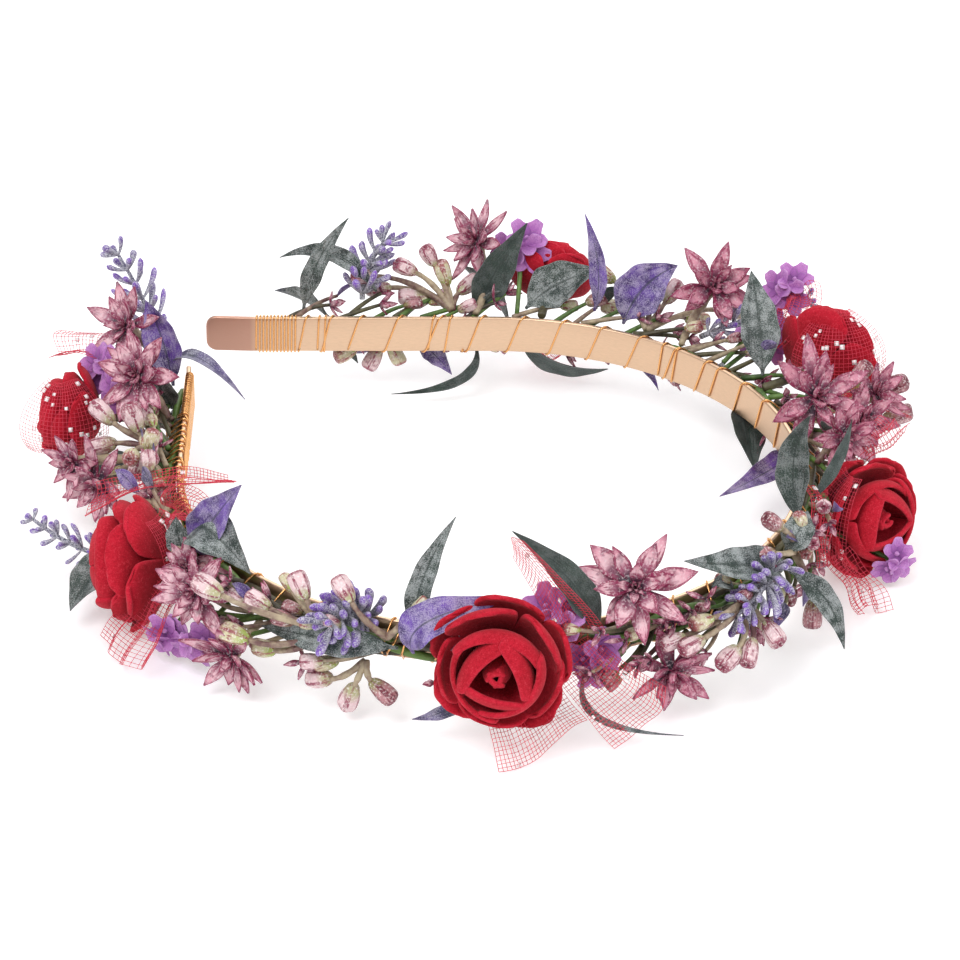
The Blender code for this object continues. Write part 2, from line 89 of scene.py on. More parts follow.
# name, first and last length, turns, bulge over the stems, unevenness
COILS = (
    ("wire_coil_back_tip", 10.5, 19.5, 12, 0.0, 0.02),
    ("wire_coil_left_tip", 372, 390, 24, 0.3, 0.25),
)

# name, then each run as (first length, last length, turns)
LASHINGS = (
    ("lashing_wire_back", ((19.6, 27, 1.5), (23.5, 26, 1.5), (30, 112, 9.5), (47, 55, 2), (98, 104, 1.5),
                           (112, 190, 9.5))),
    ("lashing_wire_front", ((190, 372, 21.5), (268, 276, 2.0), (330, 352, 9.5), (356, 372, 7.5))),
)

# name, first and last length
STEMS = (("garland_stem_back", 24, 140), ("garland_stem_right", 141, 258), ("garland_stem_left", 259, 386))

# name, place of the head, radius, swing along the strip, pitch upward, turn about its axis
ROSES = (
    ("rose_left_back", (379.0, 25, 0.0), 9.8, 0, 10, 20),
    ("rose_left_front", (329.5, 14, -2.7), 12.6, 24, -2, 50),
    ("rose_front", (253.4, 13, 3.2), 12.6, 9, 8, -13),
    ("rose_right_front", (165.0, 14, -3.1), 11.4, 44, 12, 10),
    ("rose_right_back", (124.2, 21, 6.5), 11.0, -22, 12, 75),
    ("rose_back", (70.5, 17, 7.2), 8.6, 0, 30, 30),
)

# name, place of the head, radius, swing, pitch
STAR_FLOWERS = (
    ("star_flower_left_tip", (390.5, 13, 14.5), 8.8, -50, 35),
    ("star_flower_left_upper", (372.0, 9.5, 13), 10.0, -60, 35),
    ("star_flower_left_lower", (355.5, 17, -3), 8.6, -55, 0),
    ("star_flower_front_left", (308.5, 12, 3), 8.6, -25, 20),
    ("star_flower_low_left", (300.0, 12, -7), 8.6, -15, -15),
    ("star_flower_front_right", (229.5, 6, 13), 11.0, 25, 38),
    ("star_flower_low_right", (223.5, 9, -6), 8.8, 10, -8),
    ("star_flower_right_upper", (147.0, 4.5, 13), 10.4, 80, 35),
    ("star_flower_right_outer", (145.0, 15, 5), 9.0, 60, 20),
    ("star_flower_back_right", (101.0, 15, 12), 10.0, 130, 30),
    ("star_flower_back", (57.0, 16, 14), 8.6, -120, 40),
    ("extra_star_left", (380.0, 10, 4), 7.4, -50, 15),
    ("extra_star_left_low", (359.0, 22, 0), 6.6, -60, 10),
    ("extra_star_right", (156.0, 9, 9), 7.4, 70, 25),
    ("extra_star_right_outer", (140.0, 20, 7), 7.4, 50, 30),
    ("extra_star_front_left", (314.0, 9, 4), 6.6, -40, 25),
)

# name, place, radius, swing, pitch
LILAC_FLOWERS = (
    ("lilac_left", (384.0, 17, 8), 5.6, -60, 30),
    ("lilac_front_left", (309.0, 12, -8), 5.8, -20, -10),
    ("lilac_front", (243.0, 3, 8), 5.8, 10, 30),
    ("lilac_right", (169.0, 19.5, -10), 4.4, 60, 0),
    ("lilac_right_back", (112.7, 15, 5), 5.6, 120, 30),
    ("extra_lilac_back", (65.5, 13, 14), 5.8, -170, 30),
    ("extra_lilac_front_low", (236.5, 5, -2), 5.6, 0, 5),
    ("extra_lilac_front_left", (315.0, 14, -10), 5.2, -20, -20),
    ("extra_lilac_right_back", (112.0, 22, 14), 5.2, 150, 40),
    ("extra_lilac_left", (377.0, 13, 7), 5.0, -60, 30),
)

# name, root, middle and tip of the spike, thickness, whorls, florets in each
LAVENDER_SPRIGS = (
    ("lavender_left_tip", (396, 6, 4), (400, 9, 13), (404, 15, 24), 11.0, 8, 4),
    ("lavender_left_front", (333, 12, -5), (336.5, 21, -3.5), (340.5, 29.5, 1), 7.5, 8, 4),
    ("lavender_front_left", (279, -1, 2), (280, 3, 5), (281.5, 9, 6), 14.0, 6, 8),
    ("lavender_right_front", (198, 6, 5), (203, 9, 5), (211, 10, 2), 12.0, 7, 8),
    ("lavender_back_right", (103, 7, 4), (107, 17, 6), (112, 28, 9), 8.0, 8, 5),
    ("lavender_back_left", (33, 6, 5), (34, 8, 11), (37.5, 9, 17), 11.0, 6, 6),
)

# name, root, then each bud as (place, size, kind): 0 pink, 1 lime, 2 reddish
BUD_SPRIGS = (
    ("buds_left", (360, 4.5, 3), (
        ((366, 16, 8), 1.1, 0), ((361, 9, 10), 1.1, 0), ((364, 16, 1), 1.05, 0),
        ((355, 8, 1), 1.0, 0), ((361, 14, -4), 0.8, 1), ((351, 9, 6), 0.9, 1))),
    ("extra_buds_left_inner", (352, 4, 2), (
        ((353, 5, 9), 0.8, 1), ((348, 5, 7), 0.8, 0), ((344, 4, 4), 0.7, 1))),
    ("buds_front_left", (283, 5, 2), (
        ((303, 14, 8), 1.15, 0), ((289, 6, 11), 1.0, 0), ((293, 4, 9), 0.7, 1),
        ((299, 12, -1), 1.1, 1), ((295, 9, -4), 0.9, 1), ((296, 9, 6), 1.0, 0))),
    ("extra_buds_front_mid", (273, 5, 3), (
        ((281, 5, 12), 1.0, 0), ((267, 4, 10), 0.9, 1))),
    ("buds_hanging", (277, 5, -3), (
        ((285.5, 6, -8.5), 1.05, 0), ((279.4, 6.5, -10.5), 1.1, 0), ((273.2, 6, -8), 1.05, 2))),
    ("buds_front_right", (206, 6, 2), (
        ((222, 12, 1), 0.95, 0), ((216, 14, -3), 1.05, 0), ((212, 14, -4), 1.05, 0),
        ((219, 10, 4), 0.85, 1), ((207, 15, -2), 1.0, 0), ((224, 9, 1), 0.9, 0))),
    ("buds_right", (189, 5, 3), (
        ((196, 4, 13), 0.9, 2), ((200, 5, 8), 0.95, 2), ((189, 6, 10), 0.8, 1),
        ((192, 11, -8), 1.0, 2))),
    ("buds_right_back", (133, 8, -1), (
        ((135, 19, 9), 1.0, 2), ((138, 25, 7), 1.1, 2), ((137, 27, -1), 1.1, 2),
        ((131, 22, 4), 0.9, 1))),
    ("buds_back_right", (92, 5, 3), (
        ((102, 20, 4), 1.0, 1), ((97, 17, 1), 1.0, 1), ((88, 12, 10), 1.05, 0),
        ((81, 10, 11), 0.9, 1), ((83, 9, 4), 0.9, 1), ((93, 15, 8), 1.0, 0))),
    ("buds_back_left", (52, 5, 3), (
        ((33, 7, 10), 0.95, 0), ((36, 9, 6), 0.95, 0), ((42, 7, 12), 0.95, 0), ((43, 9, 4), 1.0, 0),
        ((50, 9, 10), 1.0, 1), ((56, 11, 6), 1.0, 0), ((47, 9, 14), 0.9, 0))),
    ("buds_below_back", (38, 5, -3), (
        ((29, 4, -7), 0.9, 1), ((35, 5, -9), 0.95, 0), ((40, 5, -8), 0.9, 1))),
)

# name, root, middle and tip of the midrib, width, swing and pitch of its face, tint: 0 green, 1 violet
LEAVES = (
    ("leaf_left_tip", (384, 3, 4), (387, 5, 13), (389.5, 8.5, 21), 9.0, -70, 10, 0.75),
    ("extra_leaf_left_arch", (387, 4, 6), (383, -2, 11), (378, -12, 4), 4.0, 0, 80, 0.5),
    ("extra_leaf_left_dark", (378, 3, 2), (376, 5, 8), (374, 8, 13), 7.0, -70, 20, 0.1),
    ("extra_leaf_left_low", (333, 14, -6), (332, 20, -7), (329, 26, -11), 9.0, -40, 50, 0.1),
    ("leaf_left_front", (318, 5, 4), (313, 4, 13), (306, 2, 24), 9.0, -30, 25, 0.75),
    ("extra_leaf_left_oval", (320, 4, 7), (312, 5, 12), (303, 3, 6), 10.0, -20, 50, 0.1),
    ("extra_leaf_left_veiled", (319, 6, 2), (320, 7, 7), (321, 7, 11), 5.5, -40, 35, 0.1),
    ("extra_leaf_front_low", (271, 5, 1), (283, 8, 2), (297, 7, -1), 6.5, 0, 30, 0.1),
    ("leaf_front_purple", (268, 6, 1), (265, 8, 9.5), (251, 6, 14), 8.2, 10, 40, 1.0),
    ("leaf_front_upright", (268, 5, 4), (267, 3, 15), (261, 2, 29), 5.0, 0, 10, 0.1),
    ("extra_leaf_front_back", (236, 4, 3), (240, 3, 14), (251, 2, 26), 6.4, 0, 30, 0.0),
    ("leaf_front_right", (238, 6, -3), (238, 12, -10), (226, 19, -13.5), 1.6, 0, 20, 0.2),
    ("extra_leaf_front_under", (258, 9, -5), (262, 10, -8.5), (268, 8, -12.5), 3.0, 0, 20, 0.5),
    ("extra_leaf_right_long", (194, 7, 4), (206, 6, 9), (218, 3, 13.5), 7.5, 15, 45, 0.1),
    ("leaf_right_frosted", (194, 7, 2), (192, 14, -3), (191, 18, -14), 5.0, 60, 25, 0.1),
    ("extra_leaf_right_small", (192, 5, 5), (191, 7, 9), (185, 6, 10), 6.5, 50, 50, 0.1),
    ("leaf_right_upright", (181, 3, 4), (176.5, 0, 15), (178.5, 3.5, 27), 7.0, 80, 15, 0.02),
    ("extra_leaf_right_veiled", (174, 3, 5), (167, 7, 10), (156, 10, 13), 2.6, 70, 40, 0.0),
    ("leaf_right_inner", (136, 4, -6), (142, -3, -6), (157, -16, -4), 6.0, 60, 60, 0.9),
    ("extra_leaf_right_oval", (117, 4, -3), (122, 1, -8), (131, -2, -12), 9.0, 60, 60, 0.0),
    ("leaf_right_back", (122, 5, 4), (117, 8, 13), (111, 12, 21), 8.5, 120, 20, 0.1),
    ("leaf_back_purple", (81, 4.8, 5), (82, 4, 16), (79, 4, 28), 4.2, 180, 10, 1.0),
    ("extra_leaf_back_round", (87, 5, 3), (90, 8, 11), (95, 12, 16), 11.0, 170, 20, 0.8),
    ("extra_leaf_back_oval", (67, 6, 3), (73, 9, 8), (81, 8, 13), 10.0, 180, 40, 0.05),
    ("extra_leaf_back_long", (57, 7, 1), (61, 9, 10), (67, 9, 22), 8.0, 170, 20, 0.0),
    ("leaf_back_left", (20.5, 5, 3), (23.5, 5, 14), (30.5, 3, 26), 4.6, 180, 20, 0.1),
    ("extra_leaf_back_thin", (36, 6, 7), (27, 6, 16), (15.5, 8, 14), 4.0, 180, 30, 0.05),
    ("leaf_below_back", (57, 3, -4), (54, -1, -10.5), (39, -2, -13.5), 2.4, 180, 40, 0.0),
    ("extra_leaf_below_back_small", (44, 4, -4), (48, 4, -7), (52, 2, -11), 4.6, 180, 40, 0.7),
    ("extra_leaf_below_back_green", (66, 5, -4), (74, 5, -9), (84, 5, -8.5), 7.5, 180, -40, 0.0),
    ("extra_leaf_below_back_left", (24, 5, -3), (31, 7, -6), (40, 7, -5), 6.0, 180, -30, 0.6),
    ("extra_leaf_below_back_right", (88, 5, -4), (91, 7, -7), (94, 7, -12), 2.4, 180, 40, 0.7),
    ("extra_leaf_back_outer", (64, 8, -2), (60, 15, 2), (54, 20, 6), 8.0, 0, 30, 0.1),
    ("extra_leaf_right_outer", (150, 8, -3), (153, 14, -7), (158, 20, -9), 7.0, 40, 40, 0.1),
    ("extra_leaf_left_outer", (366, 8, -3), (370, 15, -8), (372, 20, -11), 7.0, -30, 30, 0.0),
    ("extra_leaf_back_end", (26, 7, 0), (20, 12, 2), (14, 14, 3), 6.0, 0, 30, 0.2),
    ("extra_leaf_right_back_low", (110, 6, -2), (106, 13, -6), (100, 19, -9), 7.0, 0, 30, 0.1),
)

# name, root, middle and end of the net's centre line, width at root and end, folds
NETS = (
    ("net_left_front", (320, 9, -2), (318, 16, -7), (317, 22, -13.4), 9, 18, 3.0),
    ("extra_net_left_upper", (340, -10, 6), (341, 4, 7), (343, 18, 2), 8, 10.5, 0.5),
    ("extra_net_left_back", (388, 10, 6), (391, 19, 9), (394, 28, 8), 9, 10, 1.0),
    ("extra_net_left_inner", (333, 4, 5), (326, 4, 10), (317, 3, 11), 7, 10, 1.5),
    ("net_front", (250.5, 10, -4), (248.5, 14.5, -8.5), (247, 17.5, -12.2), 14, 19, 3.0),
    ("extra_net_front_twist", (239, 5, 3), (243, 6, 12), (250.5, 4, 24), 10.5, 3.5, 1.0),
    ("extra_net_front_side", (241, 5, 1), (236, 11, -5), (231, 15, -11), 11, 15, 1.5),
    ("net_right_front", (176, 9, -5), (178, 14, -9), (180, 18, -13), 7, 13, 3.0),
    ("extra_net_right_upper", (156, 10, 3), (154, 15, 6), (151, 20, 8), 5, 10, 2.0),
    ("extra_net_right_side", (172, 4, 7), (176, 6, 3), (181, 8, -4), 8, 11, 2.0),
    ("extra_net_right_back", (136, 10, 4), (136, 18, 4), (135, 27, 1), 7, 14, 1.5),
    ("extra_net_right_back_upper", (118, 10, 8), (117, 18, 12), (114, 22, 14), 7, 10, 2.0),
    ("extra_net_back_low", (68, 7, -4), (71, 12, -9), (73, 17, -13.4), 10, 14, 1.5),
)

# name, rose under it, swing and pitch that it spans, flecks for each square millimetre
VEILS = (
    ("extra_veil_left_back", 0, (-150, -35), (-30, 70), 0.06),
    ("extra_veil_left_front", 1, (-165, -110), (-15, 60), 0.05),
    ("extra_veil_right_front", 3, (110, 175), (-25, 65), 0.06),
    ("extra_veil_right_back", 4, (55, 175), (-15, 75), 0.06),
)

# name, first and last length of a run of small twigs and leaves, and the spacing of its twigs
FILLERS = (
    ("extra_filler_back_left", 26, 62, 3.2),
    ("extra_filler_back_right", 74, 112, 3.4),
    ("extra_filler_right_back", 112, 160, 3.4),
    ("extra_filler_right_front", 172, 232, 3.0),
    ("extra_filler_front", 232, 262, 3.6),
    ("extra_filler_front_left", 280, 322, 2.8),
    ("extra_filler_left", 336, 388, 2.6),
)

# Rings of a rose, as shares of its radius: petals, first turn, half width, flatness, rounding
# of the rim's ends, then reach and height at the base, the belly and the rim, and the rim's roll
ROSE_RINGS = (
    (3, 20, 0.20, 0.2, 0.05, (0.04, -0.30), (0.16, 0.12), (0.05, 0.44), 0.00),
    (3, 38, 0.56, 0.62, 0.10, (0.10, -0.40), (0.49, 0.20), (0.28, 0.53), 0.015),
    (3, 98, 0.78, 0.15, 0.10, (0.12, -0.50), (0.64, 0.10), (0.54, 0.43), 0.04),
    (5, 60, 0.50, 0.22, 0.30, (0.14, -0.66), (0.82, -0.10), (0.80, 0.22), 0.11),
    (5, 24, 0.48, 0.20, 0.34, (0.12, -0.74), (0.89, -0.34), (0.98, -0.04), 0.12),
)
ROSE_SPIRAL = 0.035
FOAM_THICKNESS = 0.085

# Whorls of a star flower: petals, length and half width as shares of its radius, tilt, bend
STAR_WHORLS = (
    (7, 1.02, 0.205, 6, 0.10),
    (6, 0.86, 0.185, 30, 0.10),
    (4, 0.58, 0.13, 56, 0.06),
    (8, 0.30, 0.045, 64, 0.0),
)

BLOSSOMS = 3

# A bud of size one: its length and half width, and its outline as shares of them
BUD_LENGTH = 5.8
BUD_WIDTH = 1.85
BUD_PROFILE = np.array((
    (0.0, 0.34), (0.05, 0.52), (0.12, 0.66), (0.28, 0.84), (0.52, 0.98), (0.74, 1.0),
    (0.87, 0.95), (0.95, 0.80), (0.99, 0.58), (0.985, 0.38), (0.93, 0.26), (0.86, 0.12),
))

# Shares of the small twigs that end in a bud or a small leaf; the others end in bracts
BUD_SHARE = 0.38
LEAF_SHARE = 0.18

rng = np.random.default_rng(7)


def strip_frame(length):
    """Middle of the strip, its running direction and its outward direction, in millimetres."""
    if length < BACK_LEG:
        middle = np.array((length - BACK_LEG, BEND_RADIUS, 0.0))
        run = np.array((1.0, 0.0, 0.0))
    elif length < BACK_LEG + BEND_LENGTH:
        angle = math.pi / 2 - (length - BACK_LEG) / BEND_RADIUS
        middle = np.array((math.cos(angle), math.sin(angle), 0.0)) * BEND_RADIUS
        run = np.array((math.sin(angle), -math.cos(angle), 0.0))
    else:
        middle = np.array((-BEND_RADIUS, length - BACK_LEG - BEND_LENGTH, 0.0))
        run = np.array((0.0, 1.0, 0.0))
    return middle + RING_CENTRE, run, np.array((-run[1], run[0], 0.0))


def place(spot):
    """The point, in millimetres, at a place on the crown."""
    middle, _, outward = strip_frame(spot[0])
    return middle + outward * spot[1] + np.array((0.0, 0.0, spot[2]))


def stalk_root(spot):
    """Where the stalk of a flower at a place leaves the stem."""
    return place((spot[0], STALK_OUT, np.clip(spot[2] * 0.4, -STALK_HIGHEST, STALK_HIGHEST)))


def direction(length, swing, pitch):
    """Outward, swung along the strip and pitched upward by angles in degrees."""
    _, run, outward = strip_frame(length)
    level = outward * math.cos(math.radians(swing)) + run * math.sin(math.radians(swing))
    return level * math.cos(math.radians(pitch)) + np.array((0, 0, 1)) * math.sin(math.radians(pitch))


def unit(vectors):
    """Vectors at length one."""
    vectors = np.asarray(vectors, float)
    return vectors / np.maximum(np.linalg.norm(vectors, axis=-1, keepdims=True), 1e-9)


def arch(start, middle, end, count):
    """Points along a smooth arch that passes through its middle point."""
    control = 2 * middle - (start + end) / 2
    share = np.linspace(0, 1, count)[:, None]
    rest = 1 - share
    return start * rest ** 2 + control * 2 * rest * share + end * share ** 2


def around(side, rise, angle):
    """The direction at an angle between two directions that are square to each other."""
    return side * math.cos(angle) + rise * math.sin(angle)


def circle(sides):
    """Angles evenly round a turn."""
    return np.linspace(0, 2 * math.pi, sides, endpoint=False)


def axes(facing, turn=0.0):
    """Two directions across an axis, turned about it by an angle in degrees, and the axis."""
    facing = unit(facing)
    side = np.cross((0, 0, 1.0), facing)
    if np.linalg.norm(side) < 0.05:
        side = np.array((1.0, 0, 0))
    side = unit(side)
    rise = np.cross(facing, side)
    angle = math.radians(turn)
    return around(side, rise, angle), around(rise, -side, angle), facing


def tone_grid(size, along, edge, chance):
    """A grid of tones: along the piece, toward its edge, and its own chance."""
    tones = np.empty((*size, 3))
    tones[..., 0] = along
    tones[..., 1] = edge
    tones[..., 2] = chance
    return tones


class Shape:
    """Points, faces and tones of one piece. A tone is (along, edge, chance) for the material."""

    def __init__(self):
        self.points = []
        self.faces = []
        self.tones = []
        self.slots = []
        self.count = 0

    def add(self, points, faces, tones, slot=0):
        self.points.append(points)
        self.tones.append(tones)
        self.faces += [[corner + self.count for corner in face] for face in faces]
        self.slots += [slot] * len(faces)
        self.count += len(points)

    def build(self, name, materials, smooth_levels=0):
        """A mesh object in metres, with faces outward and its tones as a colour attribute."""
        points = np.concatenate(self.points) * MM
        mesh = bpy.data.meshes.new(name)
        mesh.from_pydata(points.tolist(), [], self.faces)
        mesh.polygons.foreach_set("material_index", self.slots)
        tones = np.concatenate(self.tones)
        colours = np.ones((len(tones), 4))
        colours[:, :3] = tones
        attribute = mesh.color_attributes.new("tone", "FLOAT_COLOR", "POINT")
        attribute.data.foreach_set("color", colours.ravel())
        outward = bmesh.new()
        outward.from_mesh(mesh)
        bmesh.ops.recalc_face_normals(outward, faces=outward.faces)
        outward.to_mesh(mesh)
        outward.free()
        mesh.shade_smooth()
        for material in materials:
            mesh.materials.append(material)
        piece = bpy.data.objects.new(name if name.startswith("extra_") else "look_" + name, mesh)
        bpy.context.scene.collection.objects.link(piece)
        if smooth_levels:
            smooth = piece.modifiers.new("smooth", "SUBSURF")
            smooth.levels = smooth_levels
            smooth.render_levels = smooth_levels
        return piece


def heading_along(path):
    """The direction of a path at each of its points."""
    return unit(np.gradient(path, axis=0))


def loft(shape, path, across, upward, outline, tones, slot=0):
    """A closed body whose sections are outlines, (rows, sides, 2), set across a path."""
    rows, sides = outline.shape[:2]
    rings = path[:, None] + across[:, None] * outline[..., :1] + upward[:, None] * outline[..., 1:]
    points = np.concatenate((rings.reshape(-1, 3), rings[:1].mean(1), rings[-1:].mean(1)))
    faces = []
    for row in range(rows - 1):
        for side in range(sides):
            after = (side + 1) % sides
            faces.append((row * sides + side, (row + 1) * sides + side,
                          (row + 1) * sides + after, row * sides + after))
    start, end = rows * sides, rows * sides + 1
    last = (rows - 1) * sides
    for side in range(sides):
        after = (side + 1) % sides
        faces.append((start, side, after))
        faces.append((end, last + after, last + side))
    tones = np.concatenate((tones.reshape(-1, 3), tones[:1].mean(1), tones[-1:].mean(1)))
    shape.add(points, faces, tones, slot)


def blade(shape, path, normal, width, thick, cup=0.0, fold=0.0, sides=8, chance=0.5, slot=0, span=(0, 1)):
    """A petal or leaf along a path: half widths and half thicknesses, cupped or folded across."""
    rows = len(path)
    run = heading_along(path)
    side = unit(np.cross(run, normal))
    rise = np.cross(side, run)
    cosine, sine = np.cos(circle(sides)), np.sin(circle(sides))
    outline = np.empty((rows, sides, 2))
    outline[..., 0] = width[:, None] * cosine
    outline[..., 1] = thick[:, None] * sine + width[:, None] * (cup * cosine ** 2 + fold * np.abs(cosine))
    tones = tone_grid((rows, sides), np.linspace(*span, rows)[:, None], np.abs(cosine), chance)
    loft(shape, path, side, rise, outline, tones, slot)


def carried(path):
    """Two directions across a path, carried along it without twist."""
    run = heading_along(path)
    side = np.cross(run[0], (0, 0, 1.0))
    if np.linalg.norm(side) < 0.1:
        side = np.cross(run[0], (1.0, 0, 0))
    sides = []
    for step in run:
        side = unit(side - step * np.dot(side, step))
        sides.append(side)
    sides = np.array(sides)
    return sides, np.cross(sides, run)


def tube(shape, path, radius, sides=8, chance=0.5, slot=0, span=(0, 1)):
    """A round stem or wire along a path; radius is a number or one for each point."""
    side, rise = carried(path)
    rows = len(path)
    radius = np.broadcast_to(radius, rows)[:, None]
    outline = np.stack((radius * np.cos(circle(sides)), radius * np.sin(circle(sides))), axis=-1)
    tones = tone_grid((rows, sides), np.linspace(*span, rows)[:, None], 0.5, chance)
    loft(shape, path, side, rise, outline, tones, slot)


# Materials ---------------------------------------------------------------------------------

# How far apart the pieces lie in the noise that runs along their petals
CHANCE_SPREAD = 61.0


class Nodes:
    """A Principled material with short calls for the nodes that these materials use."""

    def __init__(self, name, roughness, metallic=0.0, sheen=0.0, subsurface=0.0):
        self.material = bpy.data.materials.new(name)
        self.material.use_nodes = True
        self.tree = self.material.node_tree
        self.shader = self.tree.nodes["Principled BSDF"]
        self.shader.inputs["Roughness"].default_value = roughness
        self.shader.inputs["Metallic"].default_value = metallic
        self.shader.inputs["Sheen Weight"].default_value = sheen
        if subsurface:
            self.shader.inputs["Subsurface Weight"].default_value = subsurface
            self.shader.inputs["Subsurface Radius"].default_value = (0.002, 0.001, 0.001)
            self.shader.inputs["Subsurface Scale"].default_value = 0.5
        self.place = self.tree.nodes.new("ShaderNodeTexCoord").outputs["Object"]
        tone = self.tree.nodes.new("ShaderNodeAttribute")
        tone.attribute_name = "tone"
        split = self.tree.nodes.new("ShaderNodeSeparateColor")
        self.link(tone.outputs["Color"], split.inputs[0])
        self.along, self.edge, self.chance = split.outputs[0], split.outputs[1], split.outputs[2]

    def link(self, source, target):
        self.tree.links.new(source, target)

    def noise_at(self, source, scale, detail):
        node = self.tree.nodes.new("ShaderNodeTexNoise")
        node.inputs["Scale"].default_value = scale
        node.inputs["Detail"].default_value = detail
        self.link(source, node.inputs["Vector"])
        return node.outputs["Fac"]

    def noise(self, scale, detail, stretch=None):
        """Noise through the piece, drawn out along an axis if a stretch is given."""
        if not stretch:
            return self.noise_at(self.place, scale, detail)
        mapping = self.tree.nodes.new("ShaderNodeMapping")
        mapping.inputs["Scale"].default_value = stretch
        self.link(self.place, mapping.inputs["Vector"])
        return self.noise_at(mapping.outputs[0], scale, detail)

    def streaks(self, across, lengthwise, detail=3.0):
        """Noise in a petal's own coordinates, so that it runs along the petal."""
        parts = self.tree.nodes.new("ShaderNodeCombineXYZ")
        for socket, tone, scale in zip(parts.inputs, (self.edge, self.along, self.chance),
                                       (across, lengthwise, CHANCE_SPREAD)):
            self.link(self.math("MULTIPLY", tone, scale), socket)
        return self.noise_at(parts.outputs[0], 1.0, detail)

    def ramp(self, factor, stops):
        node = self.tree.nodes.new("ShaderNodeValToRGB")
        points = node.color_ramp.elements
        while len(points) < len(stops):
            points.new(0.5)
        for point, (position, colour) in zip(points, stops):
            point.position = position
            point.color = (*colour, 1.0) if hasattr(colour, "__len__") else (colour, colour, colour, 1.0)
        self.link(factor, node.inputs[0])
        return node.outputs[0]

    def fill(self, socket, value):
        """Links a socket, or sets it where the value is a number or a colour."""
        if hasattr(value, "links"):
            self.link(value, socket)
        else:
            socket.default_value = (*value, 1.0) if hasattr(value, "__len__") else value

    def math(self, operation, first, second):
        node = self.tree.nodes.new("ShaderNodeMath")
        node.operation = operation
        self.fill(node.inputs[0], first)
        self.fill(node.inputs[1], second)
        return node.outputs[0]

    def sum(self, *shares):
        """The sum of (output, weight) pairs, a plain output having a weight of one."""
        total = None
        for share in shares:
            term = self.math("MULTIPLY", *share) if isinstance(share, tuple) else share
            total = term if total is None else self.math("ADD", total, term)
        return total

    def mix(self, factor, first, second):
        node = self.tree.nodes.new("ShaderNodeMix")
        node.data_type = "RGBA"
        self.fill(node.inputs[0], factor)
        self.fill(node.inputs[6], first)
        self.fill(node.inputs[7], second)
        return node.outputs[2]

    def over(self, under, colour, factor, *stops):
        """A colour laid over another where a ramp of some factor is high."""
        return self.mix(self.ramp(factor, stops), under, colour)

    def finish(self, colour, height, depth, rough=None):
        """Links the colour, the relief to a depth in millimetres, and the roughness if it varies."""
        self.link(colour, self.shader.inputs["Base Color"])
        bump = self.tree.nodes.new("ShaderNodeBump")
        bump.inputs["Distance"].default_value = depth * MM
        self.link(height, bump.inputs["Height"])
        self.link(bump.outputs[0], self.shader.inputs["Normal"])
        if rough is not None:
            self.link(rough, self.shader.inputs["Roughness"])
        return self.material


def foam_material():
    """Crimson foam sheet: a fine matte grain, a little paler on the rims, with painted shade that darkens
    each petal toward its base, deep in the rose's folds.
    """
    n = Nodes("rose_foam_red", 0.95, sheen=0.05)
    n.shader.inputs["Specular IOR Level"].default_value = 0.2
    patch = n.ramp(n.noise(170, 3), ((0.35, (0.37, 0.006, 0.017)), (0.68, (0.49, 0.010, 0.028))))
    # Painted shade: each petal darkens toward its base, where it sits deep inside the rose.
    painted_fold_shade = n.over(patch, (0.20, 0.002, 0.007), n.along, (0.15, 0.7), (0.7, 0.0))
    rim = n.over(painted_fold_shade, (0.55, 0.016, 0.040), n.edge, (0.88, 0.0), (1.0, 0.45))
    grain = n.sum((n.noise(4200, 2), 0.6), (n.noise(1500, 2), 0.4))
    dark = n.over(rim, (0.22, 0.002, 0.009), grain, (0.36, 0.55), (0.48, 0.0))
    specks = n.over(dark, (0.66, 0.060, 0.085), grain, (0.54, 0.0), (0.66, 0.40))
    return n.finish(specks, grain, 0.16)


def star_material(name, pale_colour, painted_tip_shade):
    """Pink plastic petals blotched with burgundy; painted shade turns their bases nearly black where they
    meet, over the flower's own darker centre.
    """
    n = Nodes(name, 0.42, subsurface=0.05)
    # The first stops are painted shade: the petal bases go nearly black where the petals meet, deepening the
    # flower's own darker centre.
    pale = n.ramp(n.along, ((0.0, (0.018, 0.012, 0.022)), (0.22, (0.045, 0.022, 0.042)),
                            (0.44, (0.36, 0.12, 0.19)), (0.62, pale_colour), (0.86, painted_tip_shade),
                            (1.0, (0.26, 0.03, 0.09))))
    stroke = n.sum(n.streaks(3.4, 3.2, 5), (n.edge, 0.26))
    stroked = n.over(pale, (0.26, 0.018, 0.075), stroke, (0.60, 0.0), (0.72, 0.9))
    edged = n.over(stroked, (0.20, 0.015, 0.060), n.edge, (0.86, 0.0), (0.99, 0.7))
    blotch = n.over(edged, (0.22, 0.022, 0.072), n.noise(620, 4), (0.55, 0.0), (0.64, 0.65))
    dusk = n.over(blotch, (0.085, 0.030, 0.060), n.noise(330, 3), (0.60, 0.0), (0.70, 0.5))
    frost = n.over(dusk, (0.78, 0.62, 0.66), n.noise(2200, 4), (0.53, 0.0), (0.66, 0.55))
    rough = n.ramp(n.noise(900, 2), ((0.3, 0.30), (0.7, 0.56)))
    return n.finish(frost, n.sum(stroke, n.noise(1500, 3)), 0.18, rough)


def bud_material(name, low_colour, high_colour, line_colour):
    """Tinted plastic buds: one colour at the stalk, a paler one above, dark strokes and rim."""
    n = Nodes(name, 0.42, subsurface=0.06)
    rise = n.sum(n.along, (n.noise(420, 2), 0.3))
    body = n.ramp(rise, ((0.30, low_colour), (0.58, high_colour)))
    stroke = n.sum(n.streaks(2.6, 2.2, 4), (n.edge, 0.20))
    lines = n.over(body, line_colour, stroke, (0.58, 0.0), (0.68, 0.95))
    blush = n.over(lines, line_colour, n.noise(520, 3), (0.56, 0.0), (0.66, 0.55))
    rim = n.over(blush, line_colour, n.along, (0.84, 0.0), (0.93, 0.80), (1.0, 1.0))
    frost = n.over(rim, (0.88, 0.82, 0.80), n.noise(2300, 4), (0.52, 0.0), (0.66, 0.6))
    return n.finish(frost, n.sum(stroke, n.noise(1300, 3)), 0.18)


